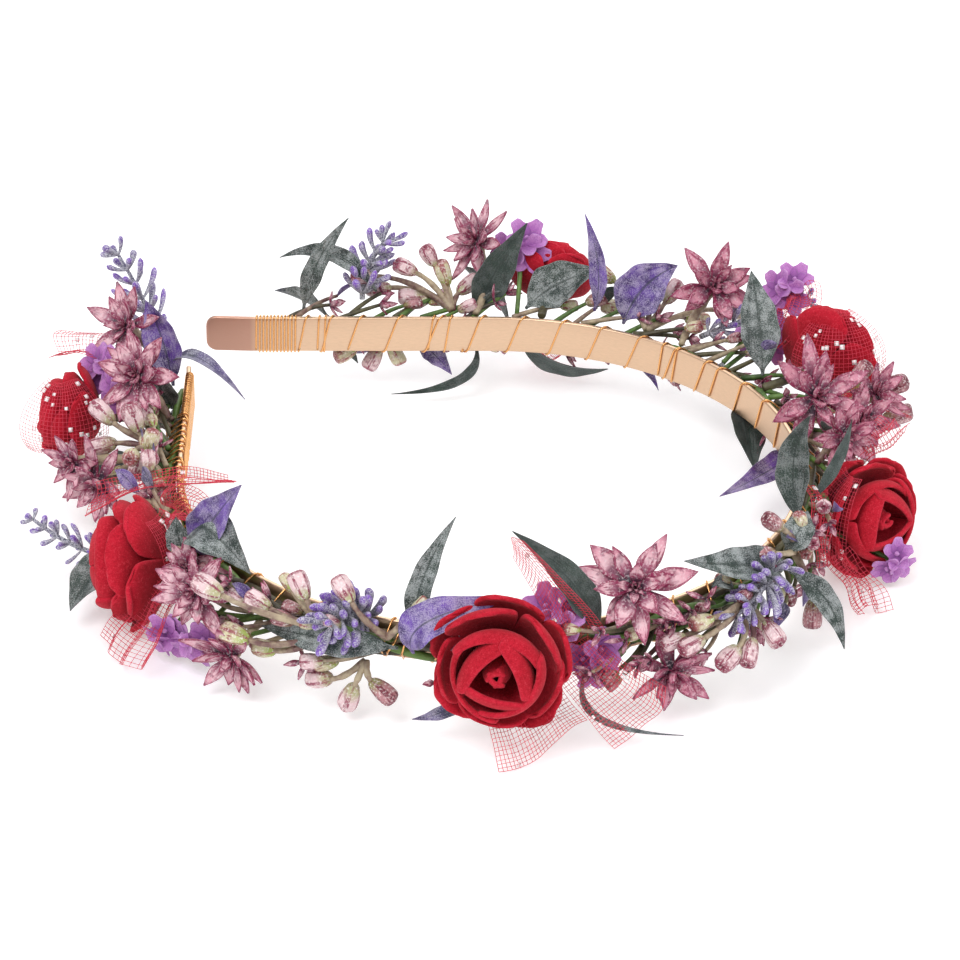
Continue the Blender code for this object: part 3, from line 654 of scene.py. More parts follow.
def lavender_material():
    """Grey-green florets turning violet at their tips, with a white frost over all."""
    n = Nodes("lavender_frosted", 0.8, sheen=0.2)
    body = n.ramp(n.along, ((0.0, (0.060, 0.080, 0.075)), (0.40, (0.10, 0.09, 0.15)),
                            (0.66, (0.16, 0.06, 0.37)), (1.0, (0.25, 0.10, 0.58))))
    dark = n.over(body, (0.055, 0.045, 0.15), n.noise(420, 3), (0.50, 0.0), (0.70, 0.6))
    frosting = n.sum(n.noise(3600, 4), (n.edge, 0.14), (n.along, -0.14))
    frost = n.over(dark, (0.60, 0.59, 0.66), frosting, (0.42, 0.0), (0.64, 0.85))
    return n.finish(frost, n.noise(3600, 3), 0.22)


def lilac_material():
    """Violet-pink woven petals, paler at their rims."""
    n = Nodes("lilac_petal_cloth", 0.7, sheen=0.2, subsurface=0.1)
    body = n.ramp(n.along, ((0.0, (0.15, 0.03, 0.18)), (0.4, (0.38, 0.11, 0.40)), (1.0, (0.56, 0.27, 0.58))))
    weave = n.noise(3200, 2, (1, 3, 1))
    streak = n.sum((weave, 0.6), (n.streaks(3, 3), 0.4))
    return n.finish(n.over(body, (0.24, 0.055, 0.31), streak, (0.42, 0.0), (0.60, 0.55)), weave, 0.06)


def leaf_material():
    """Dark green plastic leaves powdered with grey, or violet ones, by the leaf's own tint."""
    n = Nodes("leaf_frosted", 0.5, subsurface=0.03)
    green = n.ramp(n.noise(230, 3), ((0.35, (0.009, 0.021, 0.018)), (0.70, (0.024, 0.047, 0.036))))
    violet = n.ramp(n.noise(260, 3), ((0.38, (0.035, 0.014, 0.110)), (0.66, (0.13, 0.050, 0.36))))
    tint = n.ramp(n.sum(n.chance, (n.along, 0.35)), ((0.45, 0.0), (0.95, 1.0)))
    brush = n.streaks(8, 2.2, 4)
    cover = n.sum((n.noise(4600, 4), 0.46), (brush, 0.16), (n.noise(420, 5), 0.38))
    powder = n.mix(tint, (0.40, 0.43, 0.43), (0.42, 0.36, 0.54))
    amount = n.ramp(n.chance, ((0.0, 0.25), (0.045, 1.0)))
    powdered = n.math("MULTIPLY", amount, n.ramp(cover, ((0.45, 0.0), (0.58, 0.80))))
    frosted = n.mix(powdered, n.mix(tint, green, violet), powder)
    rib = n.over(frosted, (0.016, 0.028, 0.024), n.edge, (0.0, 0.75), (0.08, 0.0))
    rim = n.over(rib, (0.26, 0.31, 0.31), n.edge, (0.94, 0.0), (1.0, 0.6))
    return n.finish(rim, n.sum(cover, brush), 0.20, n.ramp(cover, ((0.45, 0.30), (0.56, 0.72))))


def stem_material(name, dark, light):
    """Moulded plastic stems, streaked between two colours."""
    n = Nodes(name, 0.5)
    streak = n.sum((n.noise(240, 3), 0.6), (n.noise(1100, 4), 0.4), (n.chance, 0.22))
    return n.finish(n.ramp(streak, ((0.44, dark), (0.72, light))), n.noise(1200, 3), 0.18)


def metal_material(name, colour, roughness, grain, painted_tip_shade=None):
    """Plated metal with faint drawing marks; a colour for the tip paints the darker reflection of the bent
    bare tip over its first 9.5 mm.
    """
    n = Nodes(name, roughness, metallic=1.0)
    marks = n.noise(grain, 3, (1, 1, 9))
    lighter = tuple(min(1.0, c * 1.10) for c in colour)
    tint = n.ramp(marks, ((0.35, colour), (0.65, lighter)))
    if painted_tip_shade:
        # Painted shade: the bent bare tip is tinted browner for the darker reflection it catches.
        tint = n.over(tint, painted_tip_shade, n.along, (0.024, 1.0), (0.029, 0.0))
    return n.finish(tint, marks, 0.004, n.ramp(marks, ((0.3, roughness - 0.05), (0.7, roughness + 0.07))))


def net_material(name, colour):
    """Dyed net thread."""
    n = Nodes(name, 0.6, sheen=0.1)
    lighter = tuple(min(1.0, c * 1.35 + 0.02) for c in colour)
    return n.finish(n.ramp(n.noise(1800, 2), ((0.35, colour), (0.65, lighter))), n.noise(4000, 2), 0.03)


FOAM = foam_material()
STAR = star_material("star_petal_mottled", (0.80, 0.53, 0.58), (0.68, 0.32, 0.40))
ROSY = star_material("star_petal_rosy", (0.66, 0.29, 0.37), (0.60, 0.23, 0.33))
PINK_BUD = bud_material("bud_pink", (0.42, 0.40, 0.22), (0.72, 0.52, 0.54), (0.24, 0.03, 0.07))
LIME_BUD = bud_material("bud_lime", (0.34, 0.42, 0.10), (0.60, 0.56, 0.36), (0.28, 0.06, 0.07))
RED_BUD = bud_material("bud_reddish", (0.25, 0.22, 0.09), (0.44, 0.20, 0.22), (0.16, 0.02, 0.04))
LAVENDER = lavender_material()
LILAC = lilac_material()
LEAF = leaf_material()
GREEN_STEM = stem_material("stem_green", (0.035, 0.075, 0.018), (0.12, 0.22, 0.045))
TAPED_STEM = stem_material("stem_taped", (0.035, 0.026, 0.018), (0.11, 0.10, 0.048))
PINK_STEM = stem_material("stem_dusty", (0.13, 0.055, 0.055), (0.44, 0.36, 0.24))
# The last colour is painted shade for the darker reflection on the strip's bent bare tip.
GOLD = metal_material("rose_gold_satin", (0.62, 0.435, 0.295), 0.36, 900, (0.48, 0.28, 0.21))
WIRE = metal_material("gold_wire", (0.72, 0.38, 0.15), 0.24, 2600)
NET = net_material("net_red", (0.50, 0.007, 0.036))
FLECK = net_material("net_fleck", (0.80, 0.76, 0.76))


def keep(piece):
    """Fixes a piece to the crown's body and hides the frame node it stands for."""
    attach(piece, BODY)
    if piece.name.startswith("look_"):
        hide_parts(piece.name.removeprefix("look_"))


# Headband, wires and stems -----------------------------------------------------------------

def make_headband():
    """The strip on edge, with softened edges and rounded tips that flare outward."""
    tip_steps, corner_steps, middle_steps = 10, 4, 260
    tip = [TIP_ROUNDING * (1 - math.cos(math.pi / 2 * step / tip_steps)) for step in range(tip_steps + 1)]
    lengths = np.array(tip + list(np.linspace(5, STRIP_LENGTH - 5, middle_steps)) +
                       [STRIP_LENGTH - length for length in reversed(tip)])
    outline = []
    for sign_out, sign_up, start in ((1, 1, 0), (-1, 1, 90), (-1, -1, 180), (1, -1, 270)):
        for step in range(corner_steps + 1):
            angle = math.radians(start + 90 * step / corner_steps)
            corner = STRIP_ROUNDING * math.cos(angle), STRIP_ROUNDING * math.sin(angle)
            outline.append((sign_out, sign_up, *corner))
    outline = np.array(outline)
    frames = [strip_frame(length) for length in lengths]
    from_tip = np.minimum(lengths, STRIP_LENGTH - lengths)
    flare = np.maximum(0, BARE_TIP - from_tip) * math.tan(math.radians(TIP_FLARE))
    across = -np.array([outward for _, _, outward in frames])
    path = np.array([middle for middle, _, _ in frames]) - across * flare[:, None]
    upward = np.tile((0.0, 0.0, 1.0), (len(lengths), 1))
    inset = np.clip(1 - from_tip / TIP_ROUNDING, 0, 1)
    half = STRIP_HEIGHT / 2 - TIP_ROUNDING * (1 - np.sqrt(1 - inset ** 2))
    sections = np.empty((len(lengths), len(outline), 2))
    sections[..., 0] = outline[:, 0] * (STRIP_THICKNESS / 2 - STRIP_ROUNDING) + outline[:, 2]
    sections[..., 1] = outline[:, 1] * (half[:, None] - STRIP_ROUNDING) + outline[:, 3]
    tones = tone_grid(sections.shape[:2], (lengths / STRIP_LENGTH)[:, None], 0.5, 0.5)
    shape = Shape()
    loft(shape, path, across, upward, sections, tones)
    keep(shape.build("headband", [GOLD]))


def wound(start, end, turns, belly, wobble):
    """Centre line of a wire wound round the strip, bulging outward over the stems by belly."""
    side = STRIP_THICKNESS / 2 + WIRE_RADIUS
    edge = STRIP_HEIGHT / 2 + WIRE_RADIUS
    bow = belly * 0.75
    # One turn as (out, up): up the inner face, over the top edge, down past the stems and under
    loop = [(-side, up) for up in np.linspace(-edge + 0.7, edge - 0.7, 7)]
    loop += [(-side * 0.75, edge - 0.15), (-side * 0.1, edge + 0.08), (side * 0.8, edge - 0.1)]
    loop += [(side + bow * share, edge * (1 - share * 0.55) - 0.1) for share in (0.35, 0.75)]
    loop += [(side + belly, up) for up in np.linspace(edge * 0.28, -edge * 0.28, 4)]
    loop += [(side + bow * share, -edge * (1 - share * 0.55) + 0.1) for share in (0.75, 0.35)]
    loop += [(side * 0.8, -edge + 0.1), (-side * 0.1, -edge - 0.08), (-side * 0.75, -edge + 0.15)]
    drift = np.cumsum(rng.normal(0, wobble, int(turns) + 3))
    drift -= np.linspace(drift[0], drift[-1], len(drift))
    points = []
    for index in range(int(turns * len(loop)) + 1):
        turn = index / len(loop)
        shift = np.interp(turn, range(len(drift)), drift)
        points.append(place((start + (end - start) * turn / turns + shift, *loop[index % len(loop)])))
    return np.array(points)


def make_coil(name, start, end, turns, bulge, wobble):
    """A close coil of wire by a tip."""
    shape = Shape()
    tube(shape, wound(start, end, turns, bulge, wobble), WIRE_RADIUS, WIRE_SIDES)
    keep(shape.build(name, [WIRE]))


def make_lashing(name, runs):
    """Loose diagonal lashing over the strip and the stems."""
    shape = Shape()
    for start, end, turns in runs:
        tube(shape, wound(start, end, turns, LASHING_BELLY, LASHING_WOBBLE), WIRE_RADIUS, WIRE_SIDES)
    keep(shape.build(name, [WIRE]))


def make_stem(name, start, end):
    """Twisted green and taped strands along the strip's outer face."""
    shape = Shape()
    for strand in range(STRANDS):
        lengths = np.linspace(start + 2 * strand, end - 2 * strand, 120)
        points = []
        for length in lengths:
            angle = 2 * math.pi * (length / STRAND_TWIST + strand / STRANDS)
            swell = 0.25 * math.sin(length / 5 + strand)
            out = 1.95 + (0.72 + swell * 0.3) * math.cos(angle)
            points.append(place((length, out, (1.35 + swell) * math.sin(angle) * 1.5)))
        thick = STRAND_RADIUS * (1 + 0.12 * np.sin(lengths / 3 + strand * 2))
        tube(shape, np.array(points), thick, chance=rng.random(), slot=strand % 2)
    keep(shape.build(name, [GREEN_STEM, TAPED_STEM]))


# Flowers -----------------------------------------------------------------------------------

def sheet_petal(shape, surface, thickness, chance):
    """A thick petal from a grid of points (across, along, 3), with its rim closed."""
    across, along = surface.shape[:2]
    normal = unit(np.cross(np.gradient(surface, axis=0), np.gradient(surface, axis=1)))
    upper = surface + normal * thickness / 2
    lower = surface - normal * thickness / 2
    points = np.concatenate((upper.reshape(-1, 3), lower.reshape(-1, 3)))
    size = across * along
    edge = np.maximum(np.abs(np.linspace(-1, 1, across))[:, None], np.linspace(-1, 1, along)[None])
    tones = tone_grid((across, along), np.linspace(0, 1, along)[None], edge, chance).reshape(-1, 3)
    faces = []
    for i in range(across - 1):
        for j in range(along - 1):
            a = i * along + j
            b, c, d = a + along, a + along + 1, a + 1
            faces += [(a, b, c, d), (size + d, size + c, size + b, size + a)]
    rim = [i * along for i in range(across)] + [(across - 1) * along + j for j in range(1, along)]
    rim += [i * along + along - 1 for i in range(across - 2, -1, -1)] + [j for j in range(along - 2, 0, -1)]
    for first, second in zip(rim, rim[1:] + rim[:1]):
        faces.append((second, first, size + first, size + second))
    shape.add(points, faces, np.concatenate((tones, tones)))


def rose_petal(shape, centre, frame_axes, radius, turn, half_width, flat, rounding, base, belly, rim, roll):
    """One foam petal: a round-ended tongue, cupped over its ring, with its rim rolled outward."""
    across_steps, along_steps = 13, 12
    side, rise, facing = frame_axes
    base, belly, rim = np.array(base), np.array(belly), np.array(rim)
    control = 2 * belly - (base + rim) / 2
    fold = rng.choice((-1, 1)) * rng.uniform(0.3, 1.0)
    surface = np.empty((across_steps, along_steps, 3))
    for i in range(across_steps):
        a = i / (across_steps - 1) * 2 - 1
        for j in range(along_steps):
            share = j / (along_steps - 1)
            broad = 0.34 + 0.66 * math.sin(math.pi / 2 * min(1.0, share * 1.5))
            tuck = 1 - rounding * max(0.0, share - 0.78) / 0.22
            x = a * half_width * broad * tuck
            s = share * (1 - rounding * abs(a) ** 2.4 * share)
            reach, height = base * (1 - s) ** 2 + control * 2 * s * (1 - s) + rim * s ** 2
            reach += ROSE_SPIRAL * a * share
            lifted = max(0.0, s - 0.74) / 0.26
            corner = 1 + 1.1 * max(0.0, a * fold)
            reach += roll * lifted ** 2 * corner
            height -= roll * 0.8 * lifted ** 3 * corner
            wrap = max(reach, half_width * 0.62)
            angle = x / wrap
            normal_reach = reach - wrap * (1 - math.cos(angle)) * (1 - flat)
            tangent_reach = wrap * math.sin(angle) * (1 - flat) + x * flat
            heading = math.radians(turn) + 0.10 * a
            level_x = math.cos(heading) * normal_reach - math.sin(heading) * tangent_reach
            level_y = math.sin(heading) * normal_reach + math.cos(heading) * tangent_reach
            surface[i, j] = centre + (side * level_x + rise * level_y + facing * height) * radius
    sheet_petal(shape, surface, FOAM_THICKNESS * radius, rng.random())


def make_rose(name, spot, radius, swing, pitch, turn):
    """A foam rose: a rolled bud in rings of petals that close over it and then open outward."""
    centre = place(spot)
    facing = direction(spot[0], swing, pitch)
    frame_axes = axes(facing, turn)
    shape = Shape()
    for petals, first, half_width, flat, rounding, base, belly, rim, roll in ROSE_RINGS:
        for index in range(petals):
            jitter = rng.normal(0, 1, 5)
            grow = 1 + 0.03 * jitter[1]
            rose_petal(shape, centre, frame_axes, radius, first + 360 * index / petals + jitter[0] * 5,
                       half_width * (1 + 0.05 * jitter[2]), flat, rounding, base, (belly[0] * grow, belly[1]),
                       (rim[0] * grow, rim[1] + 0.025 * jitter[3]), roll * (1 + 0.5 * jitter[4]))
    root = stalk_root(spot)
    back = centre - facing * radius * 0.5
    tube(shape, arch(back, (back + root) / 2 - facing * 0.8, root, 10), 1.0, 10, slot=1)
    piece = shape.build(name, [FOAM, TAPED_STEM], 1)
    keep(piece)


def star_petal(shape, centre, frame_axes, length, width, turn, tilt, bend):
    """One fleshy, pointed petal, cupped like a boat, that springs from the flower's middle."""
    side, rise, facing = frame_axes
    out = around(side, rise, turn)
    start = centre + out * length * 0.06
    tip = centre + (out * math.cos(tilt) + facing * math.sin(tilt)) * length
    middle = (start + tip) / 2 - (facing * math.cos(tilt) - out * math.sin(tilt)) * bend * length
    rows, thinnest = 14, 0.13
    share = np.linspace(0, 1, rows)
    swell = 0.42 + 0.58 * np.sin(math.pi / 2 * np.clip(share / 0.58, 0, 1)) ** 2
    half = np.maximum(width * swell * (1 - share ** 3.6) ** 0.9, thinnest)
    thick = np.maximum(width * 0.34 * (1 - 0.5 * share), thinnest)
    path = arch(start, middle, tip, rows)
    blade(shape, path, facing, half, thick, cup=0.42, fold=0.05, sides=12, chance=rng.random())


def make_star(name, spot, radius, swing, pitch):
    """A star flower: whorls of pointed petals round a dark tuft, on a dusty stalk."""
    centre = place(spot)
    facing = direction(spot[0], swing, pitch)
    frame_axes = axes(facing, rng.uniform(0, 60))
    shape = Shape()
    for count, reach, width, tilt, bend in STAR_WHORLS:
        offset = rng.uniform(0, 2)
        for index in range(count):
            jitter = rng.normal(0, 1, 4)
            star_petal(shape, centre, frame_axes, radius * reach * (1 + 0.10 * jitter[0]),
                       radius * width * (1 + 0.12 * jitter[3]),
                       offset + 2 * math.pi * index / count + 0.13 * jitter[1],
                       math.radians(tilt + 10 * jitter[2]), bend)
    root = stalk_root(spot)
    back = centre - facing * 0.4
    reach = np.linalg.norm(root - back)
    rows = 14
    path = arch(back, (back + root) / 2 - facing * reach * 0.16, root, rows)
    thick = np.linspace(1.25, 0.7, rows) * (1 + 0.12 * np.sin(np.arange(rows) * 1.9))
    tube(shape, path, thick, slot=1, chance=rng.random())
    petals = ROSY if "right" in name and "front" not in name else STAR
    keep(shape.build(name, [petals, PINK_STEM]))


def make_lilac(name, spot, radius, swing, pitch):
    """A cluster of three small five-petalled cloth flowers on one stalk."""
    facing = direction(spot[0], swing, pitch)
    side, rise, axis = axes(facing, rng.uniform(0, 72))
    middle = place(spot)
    size = radius * 0.78
    rows = 11
    share = np.linspace(0, 1, rows)
    outline = size * 0.42 * np.sqrt(np.clip(np.sin(math.pi * (0.07 + 0.86 * share ** 0.75)), 0, 1))
    shape = Shape()
    for blossom in range(BLOSSOMS):
        shift = around(side, rise, 2 * math.pi * blossom / BLOSSOMS + rng.uniform(0, 0.6))
        own = unit(axis + shift * 0.45)
        own_side, own_rise, _ = axes(own, rng.uniform(0, 72))
        centre = middle + shift * radius * 0.42
        for petal in range(5):
            out = around(own_side, own_rise, 2 * math.pi * petal / 5 + rng.normal(0, 0.08))
            tip = centre + out * size + own * size * 0.22
            path = arch(centre, (centre + tip) / 2 - own * size * 0.05, tip, rows)
            half = np.maximum(outline * (1 + 0.07 * np.sin(share * 14 + petal)), 0.12)
            blade(shape, path, own, half, np.full(rows, 0.14), cup=0.22, sides=12, chance=rng.random())
        pip = arch(centre - own * 0.3, centre + own * 0.2, centre + own * 0.9, 5)
        tube(shape, pip, np.array((0.5, 0.6, 0.55, 0.4, 0.2)), span=(0.6, 1.0))
    root = stalk_root(spot)
    tube(shape, arch(middle - axis * 0.3, (middle + root) / 2 - axis * 0.8, root, 10), 0.5, slot=1)
    keep(shape.build(name, [LILAC, GREEN_STEM]))


def make_lavender(name, root, middle, tip, thickness, whorls, florets):
    """A spike of frosted, club-shaped florets in whorls on a bent stalk."""
    rows, floret_rows = 40, 9
    path = arch(place(root), place(middle), place(tip), rows)
    run = heading_along(path)
    side, rise = carried(path)
    t = np.linspace(0, 1, floret_rows)
    club = (0.30 + 0.70 * t ** 0.9) * np.sqrt(np.clip(1 - ((t - 0.72) / 0.29).clip(0) ** 2, 0, 1))
    shape = Shape()
    tube(shape, path, np.linspace(0.7, 0.4, rows), span=(0.0, 0.4))
    for whorl in range(whorls):
        share = 0.12 + 0.88 * whorl / (whorls - 1)
        index = min(rows - 1, int(share * (rows - 1)))
        taper = 1.0 - 0.35 * max(0.0, share - 0.45) / 0.55
        for floret in range(florets):
            angle = 2 * math.pi * (floret / florets + 0.5 * (whorl % 2) / florets) + rng.normal(0, 0.25)
            out = around(side[index], rise[index], angle)
            reach = thickness / 2 * taper * rng.uniform(0.75, 1.2)
            start = path[index] + out * 0.2
            end = start + out * reach * 0.85 + run[index] * reach * rng.uniform(0.45, 1.05)
            line = arch(start, (start + end) / 2 + out * reach * 0.12, end, floret_rows)
            fat = np.maximum(club, 0.10) * rng.uniform(0.75, 1.15) * (0.5 + thickness / 20)
            blade(shape, line, run[index], fat, fat * 0.85, chance=rng.random(),
                  span=(0.15, rng.uniform(0.6, 1.0)))
    keep(shape.build(name, [LAVENDER], 1))


def make_bud(shape, base, heading, size, slot):
    """A ridged, square-shouldered bud with a small collar and a dark opening at its tip."""
    length = BUD_LENGTH * size
    along, wide = BUD_PROFILE[:, :1], BUD_PROFILE[:, 1:]
    side, rise, _ = axes(heading, rng.uniform(0, 72))
    path = base + heading * (along * length)
    path += side * (rng.normal(0, 0.25) * along ** 2 * length * 0.2)
    rows, sides, ridges = len(BUD_PROFILE), 20, 5
    turn = circle(sides)
    radius = wide * (BUD_WIDTH * size) * (0.92 + 0.12 * np.abs(np.cos(turn * ridges / 2)) ** 0.5)
    radius = radius * (1 + 0.05 * np.sin(turn * 2 + rng.uniform(0, 6)))
    outline = np.stack((radius * np.cos(turn), radius * np.sin(turn)), axis=-1)
    tones = tone_grid((rows, sides), along, 1 - np.abs(np.sin(turn * ridges / 2)) ** 0.6, rng.random())
    tones[-3:, :, 0] = 1.0
    loft(shape, path, np.tile(side, (rows, 1)), np.tile(rise, (rows, 1)), outline, tones, slot)


def make_buds(name, root, buds):
    """A branched sprig: each bud on its own bent stalk from the shared root."""
    shape = Shape()
    start = place(root)
    rows = 16
    thick = np.linspace(0.75, 0.5, rows) * (1 + 0.1 * np.sin(np.arange(rows)))
    for spot, size, kind in buds:
        end = place(spot)
        reach = np.linalg.norm(end - start)
        bow = unit(strip_frame(spot[0])[2] + np.array((0, 0, 0.35 if spot[2] > 0 else -0.5)))
        path = arch(start, (start + end) * 0.5 + bow * reach * 0.14, end, rows)
        heading = unit(path[-1] - path[-3])
        stalk_end = end - heading * 3.0 * size
        path = arch(start, (start + stalk_end) * 0.5 + bow * reach * 0.12, stalk_end, rows)
        tube(shape, path, thick, slot=3, chance=rng.random())
        make_bud(shape, path[-1] - heading * 0.3, unit(path[-1] - path[-3]), size, kind)
    keep(shape.build(name, [PINK_BUD, LIME_BUD, RED_BUD, PINK_STEM]))


def make_leaf(name, root, middle, tip, width, swing, pitch, tint):
    """A pointed blade, folded at the midrib, with a slightly waved edge and a short stalk."""
    rows = 28
    path = arch(place(root), place(middle), place(tip), rows)
    run = heading_along(path)
    normal = direction(root[0], swing, pitch)
    normals = unit(normal - run * (run @ normal)[:, None])
    share = np.linspace(0, 1, rows)
    grow = np.clip((share - 0.06) / 0.94, 0, 1)
    half = width / 2 * np.sin(math.pi * grow ** 0.80) ** 0.9 * (1 - 0.25 * grow ** 3)
    half = np.maximum(half * (1 + 0.05 * np.sin(share * 22)), 0.28 * (1 - share) + 0.10)
    thick = np.linspace(0.30, 0.10, rows)
    shape = Shape()
    blade(shape, path, normals, half, thick, cup=0.10, fold=0.28, sides=16, chance=tint)
    keep(shape.build(name, [LEAF], 1))


# Net ---------------------------------------------------------------------------------------

def thread(shape, path, radius):
    """One thread of net, as an open four-sided tube."""
    side, rise = carried(path)
    rows = len(path)
    corners = ((1, 0), (0, 1), (-1, 0), (0, -1))
    points = np.concatenate([path + (side * a + rise * b) * radius for a, b in corners])
    faces = []
    for corner in range(4):
        after = (corner + 1) % 4
        for row in range(rows - 1):
            here, there = corner * rows + row, after * rows + row
            faces.append((here, here + 1, there + 1, there))
    shape.add(points, faces, np.full((len(points), 3), rng.random()))


def make_threads(name, surface, width, length, flecks, radius=THREAD):
    """A piece of square net: crossing threads along both ways of a surface, with pale flecks."""
    shape = Shape()
    lines = max(4, round(width / NET_PITCH))
    rows = max(4, round(length / NET_PITCH))
    for line in range(lines + 1):
        slip = rng.normal(0, 0.10, 4) / lines
        u = np.clip(line / lines + np.interp(np.linspace(0, 3, 2 * rows), range(4), slip), 0, 1)
        thread(shape, np.array([surface(a, b) for a, b in zip(u, np.linspace(0, 1, 2 * rows))]), radius)
    for row in range(rows + 1):
        slip = rng.normal(0, 0.10, 4) / rows
        v = np.clip(row / rows + np.interp(np.linspace(0, 3, 2 * lines), range(4), slip), 0, 1)
        thread(shape, np.array([surface(a, b) for a, b in zip(np.linspace(0, 1, 2 * lines), v)]), radius)
    for _ in range(flecks):
        u, v = rng.uniform(0.05, 0.95, 2)
        centre = surface(u, v)
        side = unit(surface(u + 0.02, v) - centre)
        rise = unit(surface(u, v + 0.02) - centre)
        size = rng.uniform(0.36, 0.52)
        path = np.array([centre - rise * size, centre, centre + rise * size])
        blade(shape, path, np.cross(side, rise), np.full(3, size), np.full(3, 0.03), sides=4, slot=1)
    piece = shape.build(name, [NET, FLECK])
    keep(piece)


def make_net(name, root, middle, end, narrow, wide, folds):
    """A fan of net gathered at its root, waved across and slightly crumpled."""
    steps = 40
    line = arch(place(root), place(middle), place(end), steps + 1)
    length = float(np.linalg.norm(np.diff(line, axis=0), axis=1).sum())
    run = heading_along(line)
    tangent = strip_frame(root[0])[1]
    phase = rng.uniform(0, 6, 4)

    def surface(u, v):
        index = v * steps
        lower = int(min(steps - 1, max(0, math.floor(index))))
        mix = index - lower
        centre = line[lower] * (1 - mix) + line[lower + 1] * mix
        ahead = run[lower]
        across = unit(tangent - ahead * np.dot(tangent, ahead))
        normal = np.cross(across, ahead)
        span = narrow + (wide - narrow) * v
        wave = math.sin(2 * math.pi * folds * u + phase[0] + 0.8 * v) * 1.1
        wave += 0.45 * math.sin(9 * v + phase[1] + 3 * u) + 0.3 * math.sin(13 * u + phase[2])
        droop = 1.3 * math.sin(5 * u + phase[3]) * v
        return centre + across * (u - 0.5) * span + normal * wave + ahead * droop

    area = (narrow + wide) / 2 * length
    make_threads(name, surface, max(narrow, wide), length, int(area / FLECK_AREA))


def make_veil(name, rose_index, swing_range, pitch_range, fleck_share):
    """Net laid over a rose: threads along a rounded patch just above its petals."""
    spot, radius = ROSES[rose_index][1:3]
    centre = place(spot)
    phase = rng.uniform(0, 6, 2)

    def surface(u, v):
        swing = swing_range[0] + (swing_range[1] - swing_range[0]) * u
        pitch = pitch_range[0] + (pitch_range[1] - pitch_range[0]) * v
        lift = radius * VEIL_LIFT + 0.35 * math.sin(7 * u + phase[0]) + 0.35 * math.sin(6 * v + phase[1])
        return centre + direction(spot[0], swing, pitch) * lift

    reach = radius * VEIL_LIFT * math.radians(1)
    middle_pitch = math.radians(sum(pitch_range) / 2)
    width = abs(swing_range[1] - swing_range[0]) * reach * math.cos(middle_pitch)
    length = abs(pitch_range[1] - pitch_range[0]) * reach
    area = width * length
    make_threads(name, surface, width, length, int(area * fleck_share), VEIL_THREAD)


# Small growth between the flowers ----------------------------------------------------------

def make_filler(name, start, end, spacing):
    """Short twigs that end in bracts, buds or small leaves, close to the strip's outer side."""
    materials = [STAR, PINK_STEM, PINK_BUD, LIME_BUD, RED_BUD, LEAF, GREEN_STEM, TAPED_STEM]
    stem_slots, first_bud_slot, leaf_slot = (1, 6, 7), 2, 5
    shape = Shape()
    for length in np.arange(start, end, spacing):
        for side_up in (-1, 1):
            here = length + rng.normal(0, 1.2)
            root = place((here - rng.uniform(3, 9), 2.6, side_up * rng.uniform(0.5, 3.0)))
            spot = place((here + rng.uniform(0, 4), rng.uniform(4.5, 8.5), side_up * rng.uniform(2.5, 7.0)))
            path = arch(root, (root + spot) / 2 + strip_frame(here)[2] * rng.uniform(0.3, 1.5), spot, 10)
            heading = unit(path[-1] - path[-3])
            tube(shape, path, np.linspace(0.60, 0.38, 10), 7,
                 slot=rng.choice(stem_slots), chance=rng.random())
            kind = rng.random()
            if kind < BUD_SHARE:
                size = rng.uniform(0.55, 0.85)
                slot = first_bud_slot + int(rng.integers(0, 3))
                make_bud(shape, path[-1] - heading * 0.4, heading, size, slot)
            elif kind < BUD_SHARE + LEAF_SHARE:
                tip = spot + heading * rng.uniform(4, 6.5) + np.array((0, 0, side_up * 1.0))
                rows = 16
                leaf = arch(spot, (spot + tip) / 2 + np.array((0, 0, 0.8)), tip, rows)
                share = np.linspace(0, 1, rows)
                half = np.maximum(rng.uniform(1.2, 2.0) * np.sin(math.pi * share ** 0.8) ** 0.9, 0.15)
                facing = direction(here, rng.uniform(-60, 60), rng.uniform(0, 60))
                tint = rng.choice((0.0, 0.1, 0.6, 0.9))
                thick = np.linspace(0.22, 0.10, rows)
                blade(shape, leaf, facing, half, thick, cup=0.1, fold=0.28, sides=12,
                      chance=tint, slot=leaf_slot)
            else:
                bract_axes = axes(heading, rng.uniform(0, 90))
                count = int(rng.integers(3, 6))
                for index in range(count):
                    star_petal(shape, path[-1], bract_axes, rng.uniform(2.6, 4.4), rng.uniform(0.60, 0.95),
                               2 * math.pi * index / count + rng.normal(0, 0.2),
                               math.radians(rng.uniform(15, 65)), 0.08)
    keep(shape.build(name, materials))


# Build everything --------------------------------------------------------------------------

make_headband()
for maker, rows in ((make_coil, COILS), (make_lashing, LASHINGS), (make_stem, STEMS), (make_rose, ROSES),
                    (make_star, STAR_FLOWERS), (make_lilac, LILAC_FLOWERS), (make_lavender, LAVENDER_SPRIGS),
                    (make_buds, BUD_SPRIGS), (make_leaf, LEAVES), (make_net, NETS), (make_veil, VEILS),
                    (make_filler, FILLERS)):
    for row in rows:
        maker(*row)

# Floor, light and camera -------------------------------------------------------------------

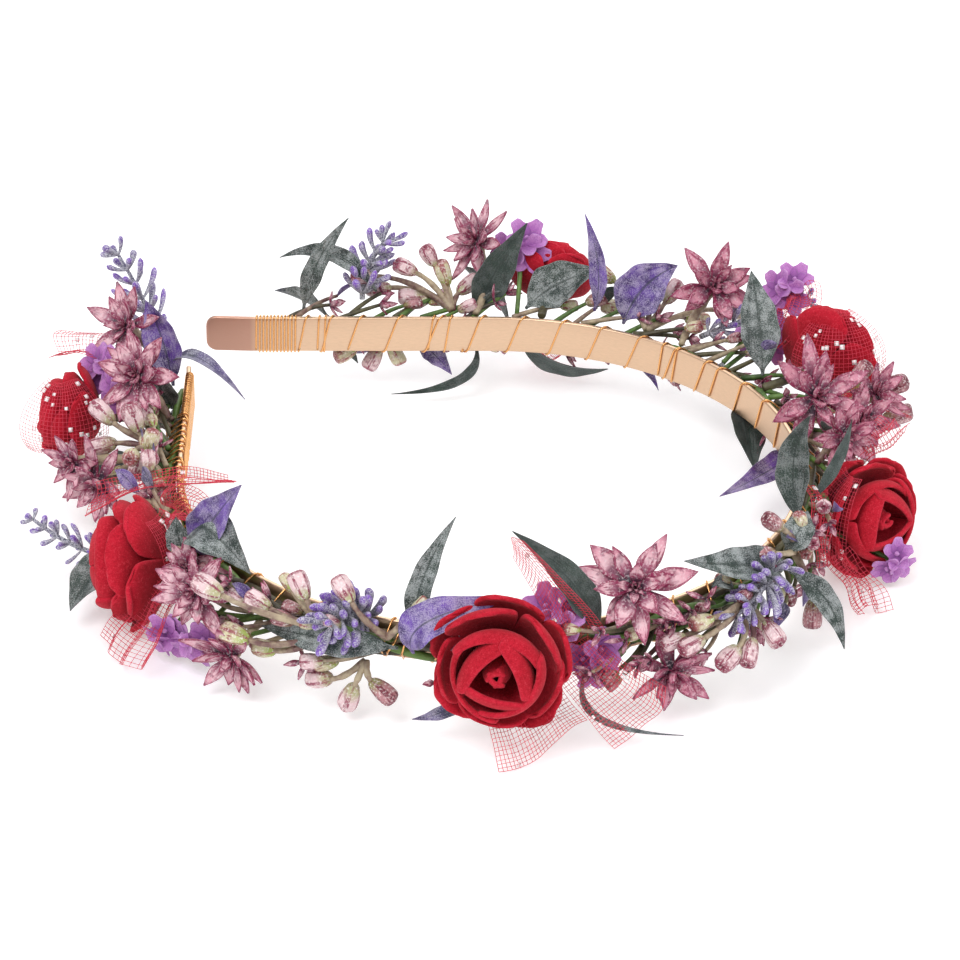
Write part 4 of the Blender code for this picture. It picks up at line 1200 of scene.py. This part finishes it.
bpy.ops.mesh.primitive_plane_add(size=8)
floor = bpy.context.object
floor.name = "floor"
white = bpy.data.materials.new("floor_white")
white.use_nodes = True
paint = white.node_tree.nodes["Principled BSDF"].inputs
paint["Base Color"].default_value = (0.86, 0.86, 0.87, 1)
paint["Roughness"].default_value = 0.9
paint["Emission Color"].default_value = (1, 1, 1, 1)
paint["Emission Strength"].default_value = 0.27
floor.data.materials.append(white)

world = bpy.data.worlds.new("studio")
world.use_nodes = True
sky = world.node_tree.nodes["Background"].inputs
sky["Color"].default_value = (1, 1, 1, 1)
sky["Strength"].default_value = 0.75
bpy.context.scene.world = world


def softbox(name, position, size, power):
    """An area light that faces the crown."""
    light = bpy.data.lights.new(name, "AREA")
    light.size = size
    light.energy = power
    lamp = bpy.data.objects.new(name, light)
    lamp.location = position
    lamp.rotation_euler = (Vector((0, 0, 0.02)) - lamp.location).to_track_quat("-Z", "Y").to_euler()
    bpy.context.scene.collection.objects.link(lamp)


softbox("key", (-0.35, -0.45, 0.85), 0.5, 5.0)
softbox("fill", (0.6, -0.3, 0.6), 0.6, 2.0)
softbox("back", (0.1, 0.7, 0.6), 0.6, 2.5)

CAMERA_DISTANCE = 0.90
CAMERA_ELEVATION = math.radians(30)
CAMERA_LENS = 168.75
CAMERA_SENSOR = 36
CAMERA_SHIFT = -2.0
target = Vector(RING_CENTRE * MM) + Vector((CAMERA_SHIFT * MM, 0, 0))
back_from_target = Vector((0, -math.cos(CAMERA_ELEVATION), math.sin(CAMERA_ELEVATION)))
lens = bpy.data.cameras.new("camera")
lens.lens = CAMERA_LENS
lens.sensor_width = CAMERA_SENSOR
lens.clip_start = 0.05
camera = bpy.data.objects.new("camera", lens)
camera.location = target + back_from_target * CAMERA_DISTANCE
camera.rotation_euler = (math.pi / 2 - CAMERA_ELEVATION, 0, 0)
bpy.context.scene.collection.objects.link(camera)
bpy.context.scene.camera = camera
bpy.context.scene.view_settings.view_transform = "Standard"

bpy.context.view_layer.update()
